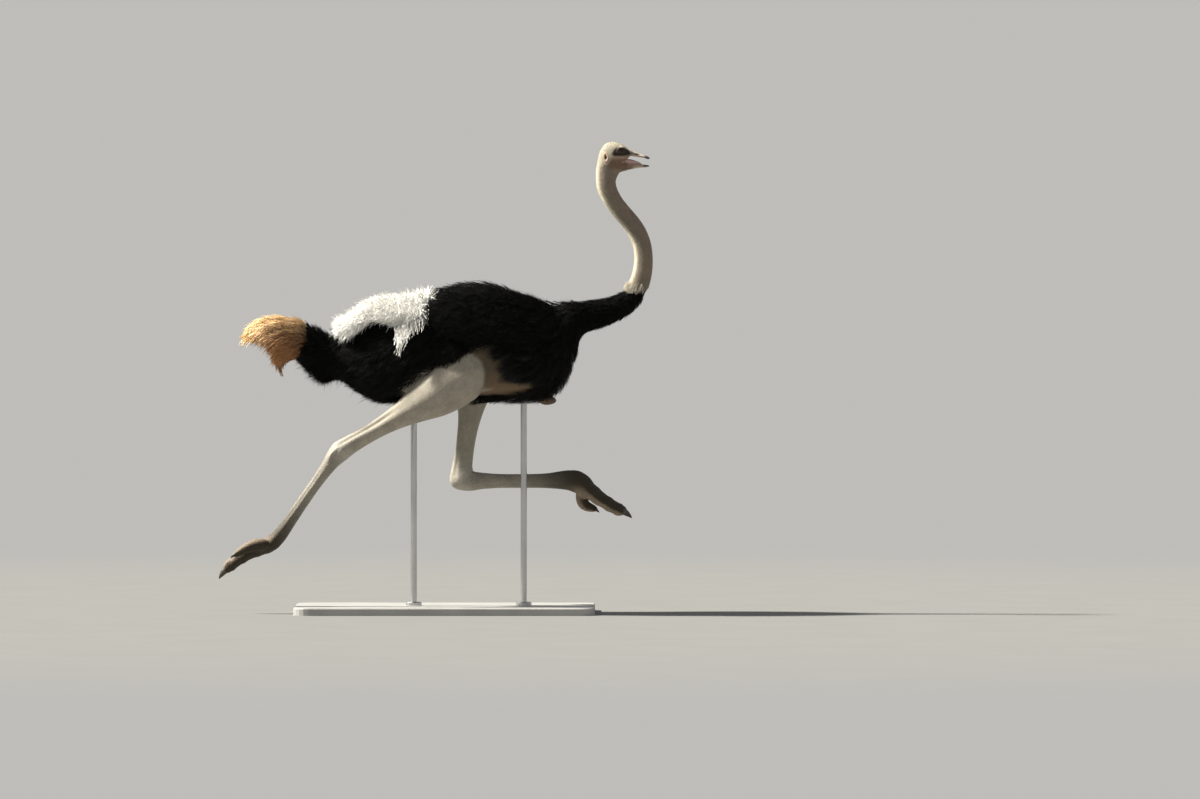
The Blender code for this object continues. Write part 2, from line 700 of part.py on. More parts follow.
def main():
    """Builds the bird and its stand, then cuts the parts clear of each other."""
    clear_scene()
    body = axial_body()
    trunk, head = body["trunk"], body["head"]
    belly_cutter = cutter(trunk)
    jaw_cutter = jaw()["cutter"]
    cut(head, jaw_cutter, *[cutter(eye) for eye in eyes()])
    cut(body["neck_upper"], jaw_cutter)
    pad = breast_pad()
    tail_plumes()
    cut(trunk, cutter(pad))
    wing_cutters = wings()
    for side, name in ((RIGHT, "right"), (LEFT, "left")):
        made = leg(side, name)
        cut(made["thigh"], *wing_cutters[side])
        cut(made["drumstick"], *wing_cutters[side])
        cut(trunk, *wing_cutters[side], cutter(made["thigh"]), cutter(made["drumstick"]))
    base_plate()
    tongue()
    for name, x in ROD_XS.items():
        rod(name, x, belly_cutter)


main()
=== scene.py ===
"""A running male ostrich, life size, dressed with skin, horn, eyes and plumage on its stand.

Units are metres, +Z is up and the bird runs along +X, its right side towards -Y. Every body form is
a tube: a row of cross-sections, each with a centre and three half axes. A tube becomes a Hide, a
table of surface points that can be read anywhere between them. The skin lies inside the tube by
the coat's depth, and each feather walks over the skin along the lie of the coat.
"""

import logging
import math
from collections.abc import Callable
from dataclasses import dataclass, replace
from enum import Enum, IntEnum

import bpy
import numpy as np
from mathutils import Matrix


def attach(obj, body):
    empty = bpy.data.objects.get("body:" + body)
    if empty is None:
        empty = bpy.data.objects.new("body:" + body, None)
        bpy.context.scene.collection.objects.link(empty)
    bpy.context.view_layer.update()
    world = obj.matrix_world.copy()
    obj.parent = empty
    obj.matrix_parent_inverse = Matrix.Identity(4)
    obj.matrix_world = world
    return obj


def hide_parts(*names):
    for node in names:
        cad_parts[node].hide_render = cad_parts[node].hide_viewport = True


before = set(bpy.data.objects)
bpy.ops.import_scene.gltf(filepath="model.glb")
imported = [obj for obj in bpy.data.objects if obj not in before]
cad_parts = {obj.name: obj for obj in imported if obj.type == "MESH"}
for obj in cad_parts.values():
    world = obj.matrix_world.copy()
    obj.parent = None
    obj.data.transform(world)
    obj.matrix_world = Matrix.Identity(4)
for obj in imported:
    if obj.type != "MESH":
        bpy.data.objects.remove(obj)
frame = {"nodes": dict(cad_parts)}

Array = np.ndarray
Colour = tuple[float, float, float]
Row = tuple[float, ...]
Rows = tuple[Row, ...]
Random = np.random.Generator
Material = bpy.types.Material

log = logging.getLogger("ostrich")
ROOT_BODY = "root"
TURN = 2 * math.pi
PATCH = 0.003  # size of each tuft's patch in the baking map


class Side(IntEnum):
    """The bird's right or left, with its sign along Y."""

    RIGHT = -1
    LEFT = 1

    @property
    def label(self) -> str:
        """The side's name as it stands in piece and node names."""
        return self.name.lower()


RIGHT, LEFT = Side


# Curves, tubes and surfaces


def mm(wide: int, *numbers: float) -> Rows:
    """Rows of that many numbers, in metres, from one run of numbers in millimetres."""
    return tuple(map(tuple, np.reshape(numbers, (-1, wide)) / 1000))


def unit(vectors: Array) -> Array:
    """The same directions, each of length 1."""
    return vectors / np.maximum(np.linalg.norm(vectors, axis=-1, keepdims=True), 1e-12)


def ramp(low: float, high: float, value: Array) -> Array:
    """A smooth step from 0 at low to 1 at high: 3 s squared less 2 s cubed."""
    share = np.clip((np.asarray(value, float) - low) / (high - low), 0, 1)
    return share * share * (3 - 2 * share)


def bump(centre: float, width: float, value: Array) -> Array:
    """A bell curve of that centre and width: e to the minus squared distance in widths."""
    return np.exp(-(((np.asarray(value, float) - centre) / width) ** 2))


def distances(line: Array) -> Array:
    """How far along a line of points each point lies."""
    return np.concatenate([[0], np.cumsum(np.linalg.norm(np.diff(line, axis=0), axis=1))])


def through(knots: Array, values: Array, at: Array) -> Array:
    """A smooth curve through values at the knots (cubic Hermite with averaged slopes).

    Args:
        knots: Places of the values, rising.
        values: One number or one row of numbers per knot.
        at: Places to read the curve at.

    Returns:
        The curve's values there.
    """
    knots, values, at = (np.asarray(x, float) for x in (knots, values, at))
    slopes = np.gradient(values, knots, axis=0)
    i = np.clip(np.searchsorted(knots, at, side="right") - 1, 0, len(knots) - 2)
    span = knots[i + 1] - knots[i]
    u = (at - knots[i]) / span
    if values.ndim > 1:
        u, span = u[:, None], span[:, None]
    first = (1 + 2 * u) * (1 - u) ** 2 * values[i] + u * (1 - u) ** 2 * span * slopes[i]
    return first + u * u * (3 - 2 * u) * values[i + 1] + u * u * (u - 1) * span * slopes[i + 1]


@dataclass
class Tube:
    """A row of cross-sections, each a centre and three half axes, as arrays of 3-vectors."""

    centre: Array
    up: Array
    down: Array
    side: Array
    power: float = 2.0

    def rings(self, points: int) -> Array:
        """Points round every section: a superellipse, upper and lower half with their own axes.

        Args:
            points: How many points each ring has.

        Returns:
            An array of sections by points by 3.
        """
        turn = np.arange(points) * TURN / points
        c, s = np.cos(turn), np.sin(turn)
        rings = self.centre[:, None]
        for share, axis in ((np.maximum(c, 0), self.up), (np.maximum(-c, 0), self.down), (s, self.side)):
            rounded = np.sign(share) * np.abs(share) ** (2 / self.power)
            rings = rings + rounded[None, :, None] * axis[:, None]
        return rings


def upright_tube(rows: Array, sections: Array, power: float = 2.0) -> Tube:
    """A tube in the bird's middle plane from rows of (upper x, z, lower x, z, half width).

    Args:
        rows: The named rows, one after the other.
        sections: Places to cut sections at, counted in rows.
        power: Power of the superellipse, 2 for an ellipse.

    Returns:
        The tube.
    """
    rows = np.array(rows, float)
    knots = distances((rows[:, 0:2] + rows[:, 2:4]) / 2)
    x, z, low_x, low_z, half = through(knots, rows, np.interp(sections, np.arange(len(rows)), knots)).T
    flat = np.zeros(len(x))
    high, low, side = (np.stack(p, 1) for p in ((x, flat, z), (low_x, flat, low_z), (flat, half, flat)))
    centre = (high + low) / 2
    return Tube(centre, high - centre, low - centre, side, power)


def square_to(heading: Array) -> tuple[Array, Array]:
    """Two directions square to each heading and to each other, the second towards Y."""
    across = unit(np.cross([0.0, 1.0, 0.0], heading))
    return across, unit(np.cross(heading, across))


def limb(path: Array, half: Array, below: float = 1.0, beside: float = 1.0, power: float = 2.0) -> Tube:
    """A tube along a path from its half depth above, and the shares of that below and beside."""
    across, out = square_to(unit(np.gradient(path, axis=0)))
    return Tube(path, across * half, -across * half * below, out * half * beside, power)


class Hide:
    """A tube's surface as a table of points, read smoothly between them.

    The first index runs along the tube and the second round it. Places are given as a row, counted
    in table rows, and a turn from 0 to 1, which starts at the tube's upper side and goes by +Y.
    """

    def __init__(self, points: Array) -> None:
        """Keeps the points and works out the slopes and outward normals by differences."""
        self.points = points
        self.rows = len(points)
        self.along = np.gradient(points, axis=0)
        self.around = (np.roll(points, -1, 1) - np.roll(points, 1, 1)) / 2 * points.shape[1]
        square = unit(np.cross(self.around, self.along))
        outward = points - points.mean(axis=1, keepdims=True)
        self.normal = square * np.sign(np.sum(square * outward))

    def turns(self) -> Array:
        """The turn of each point round a ring."""
        return np.arange(self.points.shape[1]) / self.points.shape[1]

    def read(self, table: Array, row: Array, turn: Array) -> Array:
        """Reads a table between its points by mixing the four around each place.

        Args:
            table: One of this surface's tables.
            row: Places along, which may run a little past the ends.
            turn: Places round.

        Returns:
            One vector for each place.
        """
        near = np.clip(np.floor(row).astype(int), 0, self.rows - 2)
        share = np.clip(row - near, -3.0, 4.0)[..., None]
        around = (turn % 1.0) * table.shape[1]
        left = np.floor(around).astype(int) % table.shape[1]
        right = (left + 1) % table.shape[1]
        mix = (around - np.floor(around))[..., None]
        here, on = (table[k, left] * (1 - mix) + table[k, right] * mix for k in (near, near + 1))
        return here * (1 - share) + on * share

    def sunk(self, depth: Array) -> "Hide":
        """The surface that lies inside this one by a depth, one for all or one for each point."""
        return Hide(self.points - self.normal * np.asarray(depth)[..., None])

    def scatter(self, count: int, rng: Random, low: float, high: float) -> tuple[Array, Array]:
        """Places spread evenly by area between two rows.

        Args:
            count: How many places.
            rng: The random draws.
            low: First row.
            high: Last row.

        Returns:
            Arrays of rows and turns.
        """
        area = np.linalg.norm(np.cross(self.along, self.around), axis=2)
        place = np.arange(self.rows)
        area = area * ((place >= low) & (place <= high))[:, None]
        total = np.cumsum(area.ravel())
        draw = (np.arange(count) + rng.random(count)) / count * total[-1]
        cell = np.searchsorted(total, draw)
        row = cell // area.shape[1] + rng.random(count) - 0.5
        turn = (cell % area.shape[1] + rng.random(count)) / area.shape[1]
        mixed = rng.permutation(count)
        return np.clip(row, low, high)[mixed], turn[mixed]


@dataclass
class Shell:
    """A closed mesh of triangles as plain arrays."""

    vertices: Array
    triangles: Array

    def corners(self) -> tuple[Array, Array, Array]:
        """The places of every triangle's first, second and third corner."""
        return tuple(self.vertices[self.triangles[:, k]] for k in range(3))

    def outward(self) -> "Shell":
        """The same shell with its faces turned outwards, judged by its signed volume."""
        a, b, c = self.corners()
        if np.sum(a * np.cross(b, c)) < 0:
            self.triangles = self.triangles[:, ::-1]
        return self

    def normals(self) -> Array:
        """Normals at the vertices: the sum of the normals of the faces that meet there."""
        a, b, c = self.corners()
        faces = np.cross(b - a, c - a)
        total = np.zeros_like(self.vertices)
        for k in range(3):
            np.add.at(total, self.triangles[:, k], faces)
        return unit(total)

    def edges(self) -> Array:
        """Each edge once, as pairs of vertices."""
        t = self.triangles
        return np.unique(np.sort(np.concatenate([t[:, :2], t[:, 1:], t[:, ::2]]), axis=1), axis=0)

    def relaxed(self, weight: Array, rounds: int) -> "Shell":
        """The shell smoothed: each vertex moves towards the mean of its neighbours.

        Args:
            weight: How far each vertex may move each round, from 0 to 1.
            rounds: How often.

        Returns:
            The smoothed shell.
        """
        edges = self.edges()
        near, far = np.concatenate([edges, edges[:, ::-1]]).T
        number = np.maximum(np.bincount(near, minlength=len(weight))[:, None], 1)
        vertices = self.vertices.copy()
        for _ in range(rounds):
            total = [np.bincount(near, vertices[far, k], minlength=len(weight)) for k in range(3)]
            vertices += weight[:, None] * (np.stack(total, 1) / number - vertices)
        return Shell(vertices, self.triangles)

    def near_seam(self, seam: Array, reach: float, rounds: int = 40) -> Array:
        """How close each vertex is to a seam, walking along edges: 1 on it, 0 past the reach."""
        near, far = self.edges().T
        length = np.linalg.norm(self.vertices[near] - self.vertices[far], axis=1)
        way = np.where(seam, 0.0, 1e9)
        for _ in range(rounds):
            np.minimum.at(way, near, way[far] + length)
            np.minimum.at(way, far, way[near] + length)
        return 1 - ramp(0, reach, way)

    def put_in_scene(self, name: str) -> bpy.types.Object:
        """Makes a smooth mesh object of the shell and links it to the scene."""
        mesh = bpy.data.meshes.new(name)
        count = len(self.triangles)
        mesh.vertices.add(len(self.vertices))
        mesh.vertices.foreach_set("co", self.vertices.astype(np.float32).ravel())
        mesh.loops.add(3 * count)
        mesh.loops.foreach_set("vertex_index", self.triangles.astype(np.int32).ravel())
        mesh.polygons.add(count)
        mesh.polygons.foreach_set("loop_start", np.arange(count, dtype=np.int32) * 3)
        mesh.polygons.foreach_set("use_smooth", np.ones(count, bool))
        mesh.update(calc_edges=True)
        return linked(name, mesh)


def linked(name: str, data: bpy.types.ID) -> bpy.types.Object:
    """A new object in the scene that holds a mesh, lamp or camera."""
    made = bpy.data.objects.new(name, data)
    bpy.context.scene.collection.objects.link(made)
    return made


def grid_faces(rows: int, points: int, closed: bool = False) -> Array:
    """Two triangles for each cell of a table that closes on itself across, and along if asked."""
    row, point = np.meshgrid(np.arange(rows if closed else rows - 1), np.arange(points), indexing="ij")
    near, on, beside = row * points, (row + 1) % rows * points, (point + 1) % points
    here, side, far, ahead = (a.ravel() for a in (near + point, near + beside, on + beside, on + point))
    return np.concatenate([np.stack([here, side, far], 1), np.stack([here, far, ahead], 1)])


def capped(rings: Array) -> Shell:
    """A closed shell over rings of points, with a fan of triangles over either end."""
    rows, points = rings.shape[:2]
    ring = np.arange(points)
    beside, last = np.roll(ring, -1), (rows - 1) * points
    start = np.stack([beside, ring, np.full(points, rows * points)], 1)
    end = np.stack([ring + last, beside + last, np.full(points, rows * points + 1)], 1)
    vertices = np.concatenate([rings.reshape(-1, 3), [rings[0].mean(0), rings[-1].mean(0)]])
    return Shell(vertices, np.concatenate([grid_faces(rows, points), start, end])).outward()


def hooped(rings: Array) -> Shell:
    """A closed ring-shaped shell: the table of points closes on itself both ways."""
    return Shell(rings.reshape(-1, 3), grid_faces(*rings.shape[:2], True)).outward()


def disc(rings: Array) -> Shell:
    """A flat disc from rings round its middle, the first ring the smallest, facing up."""
    count, points = rings.shape[:2]
    ring = np.arange(points)
    fan = np.stack([np.full(points, count * points), ring, np.roll(ring, -1)], 1)
    faces = np.concatenate([grid_faces(count, points)[:, ::-1], fan])
    return Shell(np.concatenate([rings.reshape(-1, 3), np.zeros((1, 3))]), faces)


def drawn_in(rings: Array, reach: float, depth: float) -> Array:
    """Rings whose last part, of the given reach, draws in by a depth to pass under another form."""
    middle = rings.mean(axis=1, keepdims=True)
    left = np.linalg.norm(middle - middle[-1:], axis=2)[:, :, None]
    half = np.linalg.norm(rings - middle, axis=2, keepdims=True).mean(axis=1, keepdims=True)
    return middle + (rings - middle) * (1 - depth * ramp(reach, 0, left) / half)


def ball(centre: Row, half: Row, rows: int = 24, points: int = 32) -> Shell:
    """An ellipsoid by latitude and longitude, its poles along Y.

    Args:
        centre: Its middle.
        half: Its half axes along X, Y and Z.
        rows: Rings from pole to pole.
        points: Points round each ring.

    Returns:
        The closed shell.
    """
    slope = np.linspace(0.04, math.pi - 0.04, rows)[:, None]
    turn = (np.arange(points) * TURN / points)[None]
    x, y, z = np.sin(slope) * np.cos(turn), np.cos(slope) + 0 * turn, np.sin(slope) * np.sin(turn)
    return capped(np.array(centre) + np.stack([x, y, z], 2) * np.array(half))


def read_shell(mesh: bpy.types.Mesh) -> Shell:
    """The vertices and triangles of a mesh as arrays."""
    mesh.calc_loop_triangles()
    vertices = np.empty(len(mesh.vertices) * 3, np.float32)
    mesh.vertices.foreach_get("co", vertices)
    triangles = np.empty(len(mesh.loop_triangles) * 3, np.int32)
    mesh.loop_triangles.foreach_get("vertices", triangles)
    return Shell(vertices.reshape(-1, 3).astype(float), triangles.reshape(-1, 3))


def joined(shells: list[Shell]) -> Shell:
    """Several shells as one, side by side."""
    starts = np.cumsum([0] + [len(shell.vertices) for shell in shells[:-1]])
    triangles = [shell.triangles + start for shell, start in zip(shells, starts)]
    return Shell(np.concatenate([shell.vertices for shell in shells]), np.concatenate(triangles))


def within(x: Array, z: Array, outline: Rows) -> Array:
    """How far places seen from the side lie inside a closed outline, negative outside it.

    The distance is to the nearest edge, and its sign comes from the even-odd rule.

    Args:
        x: The places' x.
        z: Their heights.
        outline: Corners of the outline as x and z.

    Returns:
        The distances.
    """
    spots = np.stack([np.asarray(x), np.asarray(z)], -1).reshape(-1, 1, 2)
    start = np.array(outline, float)[None]
    end = np.roll(start, -1, axis=1)
    edge = end - start
    off = spots - start
    share = np.clip((off * edge).sum(-1) / np.maximum((edge**2).sum(-1), 1e-12), 0, 1)
    gap = np.linalg.norm(off - share[..., None] * edge, axis=-1).min(1)
    crosses = (start[..., 1] > spots[..., 1]) != (end[..., 1] > spots[..., 1])
    rise = np.where(edge[..., 1] == 0, 1, edge[..., 1])
    reach = start[..., 0] + edge[..., 0] * off[..., 1] / rise
    odd = (crosses & (spots[..., 0] < reach)).sum(1) % 2
    return np.where(odd == 1, gap, -gap).reshape(np.shape(x))


# Finishes


class NodeBench:
    """Adds shader nodes to one node tree and links them."""

    def __init__(self, tree: bpy.types.NodeTree) -> None:
        """Keeps the tree that it works in."""
        self.tree = tree

    def feed(self, node: bpy.types.Node, **inputs: object) -> bpy.types.Node:
        """Feeds a node's sockets.

        Args:
            node: The node.
            **inputs: For each socket, named with _ for spaces or with i and its number, a socket
                to link from or a constant.

        Returns:
            The node.
        """
        for key, value in inputs.items():
            socket = node.inputs[int(key[1:]) if key[1:].isdigit() else key.replace("_", " ")]
            if isinstance(value, bpy.types.NodeSocket):
                self.tree.links.new(value, socket)
            else:
                socket.default_value = value
        return node

    def add(self, kind: str, settings: dict | None = None, **inputs: object) -> bpy.types.Node:
        """Adds a node of a kind, with its properties and what goes into its sockets."""
        node = self.tree.nodes.new(kind if kind.startswith("NodeGroup") else "ShaderNode" + kind)
        for key, value in (settings or {}).items():
            setattr(node, key, value)
        return self.feed(node, **inputs)

    def maths(self, operation: str, *values: object) -> bpy.types.NodeSocket:
        """The result of a Math node on two or three values."""
        inputs = {f"i{place}": value for place, value in enumerate(values)}
        return self.add("Math", {"operation": operation}, **inputs).outputs[0]

    def mix(self, factor: object, first: object, second: object, way: str = "MIX") -> bpy.types.NodeSocket:
        """The colour that a Mix node makes of two colours."""
        settings = {"data_type": "RGBA", "blend_type": way}
        return self.add("Mix", settings, i0=factor, i6=first, i7=second).outputs[2]

    def shaded(self, colour: object, bright: object) -> bpy.types.NodeSocket:
        """A colour times a brightness."""
        grey = self.add("CombineColor", Red=bright, Green=bright, Blue=bright)
        return self.mix(1.0, colour, grey.outputs[0], "MULTIPLY")

    def attribute(self, name: str, output: str = "Color") -> bpy.types.NodeSocket:
        """What the mesh says at each point under that name."""
        return self.add("Attribute", {"attribute_name": name}).outputs[output]

    def blotches(self, scale: float, detail: float) -> bpy.types.NodeSocket:
        """The shared mottle group with its own values."""
        return self.add("Group", {"node_tree": mottle_group()}, Scale=scale, Detail=detail).outputs[0]

    def pebbles(self, scale: float, roundness: float) -> bpy.types.NodeSocket:
        """The shared pebble group with its own values."""
        return self.add("Group", {"node_tree": pebble_group()}, Scale=scale, Roundness=roundness).outputs[0]

    def raised(self, height: object, depth: float) -> bpy.types.NodeSocket:
        """The normal of a surface whose height rises by up to a depth."""
        return self.add("Bump", Strength=1.0, Distance=depth, Height=height).outputs[0]


def shared_group(name: str, inputs: dict[str, float], output: str, work: Callable) -> bpy.types.NodeTree:
    """A shader node group with number inputs and one number output, built once.

    Args:
        name: The group's name.
        inputs: Its inputs with their usual values.
        output: The name of what it puts out.
        work: Adds the nodes, given the bench and the group's inputs, and gives the socket to put out.

    Returns:
        The group.
    """
    if name not in bpy.data.node_groups:
        tree = bpy.data.node_groups.new(name, "ShaderNodeTree")
        for key, value in inputs.items():
            socket = tree.interface.new_socket(name=key, in_out="INPUT", socket_type="NodeSocketFloat")
            socket.default_value = value
        tree.interface.new_socket(name=output, in_out="OUTPUT", socket_type="NodeSocketFloat")
        bench = NodeBench(tree)
        given = bench.add("NodeGroupInput").outputs
        bench.feed(bench.add("NodeGroupOutput"), i0=work(bench, given))
    return bpy.data.node_groups[name]


def mottle_group() -> bpy.types.NodeTree:
    """Soft blotches: fractal noise over the object's own coordinates, stretched to 0..1."""

    def work(bench: NodeBench, given: object) -> bpy.types.NodeSocket:
        """Noise of the given scale and detail, its middle values spread out."""
        place = bench.add("TexCoord").outputs["Object"]
        noise = bench.add("TexNoise", Vector=place, Scale=given["Scale"], Detail=given["Detail"])
        return bench.add("MapRange", Value=noise.outputs[0], From_Min=0.32, From_Max=0.68).outputs[0]

    return shared_group("mottle", {"Scale": 40.0, "Detail": 4.0}, "Value", work)


def pebble_group() -> bpy.types.NodeTree:
    """Small rounded scales: distance to the nearest cell's middle, higher in the middle."""

    def work(bench: NodeBench, given: object) -> bpy.types.NodeSocket:
        """One less the distance, to the power of the roundness."""
        place = bench.add("TexCoord").outputs["Object"]
        cells = bench.add("TexVoronoi", Vector=place, Scale=given["Scale"])
        high = bench.maths("SUBTRACT", 1.0, cells.outputs["Distance"])
        return bench.maths("POWER", high, given["Roundness"])

    return shared_group("pebbles", {"Scale": 250.0, "Roundness": 1.0}, "Height", work)


@dataclass(frozen=True)
class Finish:
    """What every finish shares: a name, how rough it is and how it becomes a material."""

    name: str
    roughness: float

    def sockets(self, bench: NodeBench) -> dict[str, object]:
        """What goes into the shader's sockets besides its roughness."""
        return {}

    def make(self) -> Material:
        """Builds the material round its Principled shader."""
        made = bpy.data.materials.new(self.name)
        made.use_nodes = True
        bench = NodeBench(made.node_tree)
        inputs = {"Roughness": self.roughness, **self.sockets(bench)}
        bench.feed(made.node_tree.nodes["Principled BSDF"], **inputs)
        return made


@dataclass(frozen=True)
class Plumage(Finish):
    """Feathers: a colour at the root and one at the tip, and each feather's own tone."""

    root: Colour = (0.01, 0.01, 0.01)
    tip: Colour = (0.02, 0.02, 0.02)
    # In the finishes made here the pale colour serves as a painted highlight, on the tail's crest and at the
    # nape.
    pale: Colour = (0.5, 0.5, 0.5)
    paling: float = 0.0  # share of the pale colour in the lightest feathers
    paling_along: float = 0.0  # how much less of it there is at the feathers' roots
    spread: float = 0.4
    gloss: float = 0.5

    def sockets(self, bench: NodeBench) -> dict[str, object]:
        """Colours from the tufts' own attribute: red along, green the tone, blue the barb."""
        tuft = bench.add("SeparateColor", Color=bench.attribute("tuft")).outputs
        light = bench.maths("MULTIPLY", tuft[1], self.paling)
        along = bench.maths("MULTIPLY_ADD", tuft[0], self.paling_along, 1.0 - self.paling_along)
        colour = bench.mix(tuft[0], (*self.root, 1), (*self.tip, 1))
        colour = bench.mix(bench.maths("MULTIPLY", light, along), colour, (*self.pale, 1))
        tone = bench.maths("ADD", tuft[1], tuft[2])
        tone = bench.maths("MULTIPLY_ADD", bench.blotches(9.0, 3.0), 0.6, tone)
        bright = bench.maths("MULTIPLY_ADD", tone, self.spread, 1 - self.spread * 1.3)
        return {"Base Color": bench.shaded(colour, bright), "Specular IOR Level": self.gloss}


@dataclass(frozen=True)
class Hideskin(Finish):
    """Bare skin: its markings, painted light and shade among them, come with the mesh, and scales and pores
    are raised on it.
    """

    def sockets(self, bench: NodeBench) -> dict[str, object]:
        """Markings times blotches, and pebbled scales where the mesh says so."""
        scaly = bench.attribute("scaly", "Fac")
        fine, broad = bench.blotches(160.0, 5.0), bench.blotches(22.0, 4.0)
        shade = bench.maths("MULTIPLY_ADD", fine, 0.22, 0.86)
        patchy = bench.maths("MULTIPLY_ADD", broad, 0.26, 0.86)
        toned = bench.shaded(bench.attribute("markings"), bench.maths("MULTIPLY", shade, patchy))
        scales, pores = bench.pebbles(260.0, 1.6), bench.pebbles(420.0, 4.0)
        seams = bench.mix(bench.maths("MULTIPLY", scaly, 0.35), (1, 1, 1, 1), scales)
        soft = bench.maths("MULTIPLY", bench.maths("SUBTRACT", 1.0, scaly), pores)
        height = bench.maths("MULTIPLY_ADD", scaly, scales, bench.maths("MULTIPLY", soft, 0.4))
        return {
            "Base Color": bench.mix(1.0, toned, seams, "MULTIPLY"),
            "Normal": bench.raised(bench.maths("MULTIPLY_ADD", fine, 0.5, height), 0.0011),
            "Roughness": bench.maths("MULTIPLY_ADD", broad, 0.18, self.roughness - 0.08),
            "Specular IOR Level": 0.3,
            "Subsurface Weight": 0.08,
            "Subsurface Radius": (0.008, 0.004, 0.002),
            "Subsurface Scale": 1.0,
        }


@dataclass(frozen=True)
class Horn(Finish):
    """Bill or claw: its markings come with the mesh, with fine streaks of growth."""

    streak: float = 0.3
    coat: float = 0.2

    def sockets(self, bench: NodeBench) -> dict[str, object]:
        """Markings darkened by streaks, and a thin gloss over them."""
        streaks, broad = bench.blotches(300.0, 6.0), bench.blotches(70.0, 3.0)
        shade = bench.maths("MULTIPLY_ADD", streaks, self.streak, 1 - self.streak)
        return {
            "Base Color": bench.shaded(bench.attribute("markings"), shade),
            "Roughness": bench.maths("MULTIPLY_ADD", broad, 0.2, self.roughness - 0.1),
            "Normal": bench.raised(streaks, 0.0004),
            "Coat Weight": self.coat,
            "Coat Roughness": 0.2,
        }


@dataclass(frozen=True)
class Eyeball(Finish):
    """A wet eye: rings of colour round the line of sight."""

    pupil: Colour = (0.002, 0.002, 0.002)
    iris: Colour = (0.040, 0.018, 0.009)
    rim: Colour = (0.012, 0.008, 0.006)
    white: Colour = (0.03, 0.022, 0.018)

    def sockets(self, bench: NodeBench) -> dict[str, object]:
        """Rings by the mesh's gaze attribute, 0 at the pupil's middle, with flecks in them."""
        rings = bench.add("ValToRGB", Fac=bench.attribute("gaze", "Fac"))
        stops = rings.color_ramp.elements
        stops[0].position, stops[0].color = 0.085, (*self.pupil, 1)
        stops[1].position, stops[1].color = 0.10, (*self.iris, 1)
        for place, colour in ((0.20, self.iris), (0.245, self.rim), (0.5, self.white)):
            stops.new(place).color = (*colour, 1)
        flecks = bench.maths("MULTIPLY", bench.blotches(900.0, 3.0), 0.35)
        return {
            "Base Color": bench.mix(flecks, rings.outputs[0], (0, 0, 0, 1)),
            "Specular IOR Level": 0.25,
            "Coat Weight": 0.35,
            "Coat Roughness": 0.02,
        }


@dataclass(frozen=True)
class Coated(Finish):
    """Paint or metal: one colour broken by fine grain, worn a little lighter in blotches."""

    colour: Colour = (0.4, 0.4, 0.4)
    worn: Colour = (0.5, 0.5, 0.5)
    metallic: float = 0.0
    grain: float = 600.0
    relief: float = 0.00015

    def sockets(self, bench: NodeBench) -> dict[str, object]:
        """Two tones mixed by blotches, and grain in height and roughness."""
        fine = bench.blotches(self.grain, 3.0)
        return {
            "Base Color": bench.mix(bench.blotches(6.0, 6.0), (*self.colour, 1), (*self.worn, 1)),
            "Roughness": bench.maths("MULTIPLY_ADD", fine, 0.16, self.roughness - 0.06),
            "Metallic": self.metallic,
            "Normal": bench.raised(fine, self.relief),
        }


# Body forms, repeated from the solids


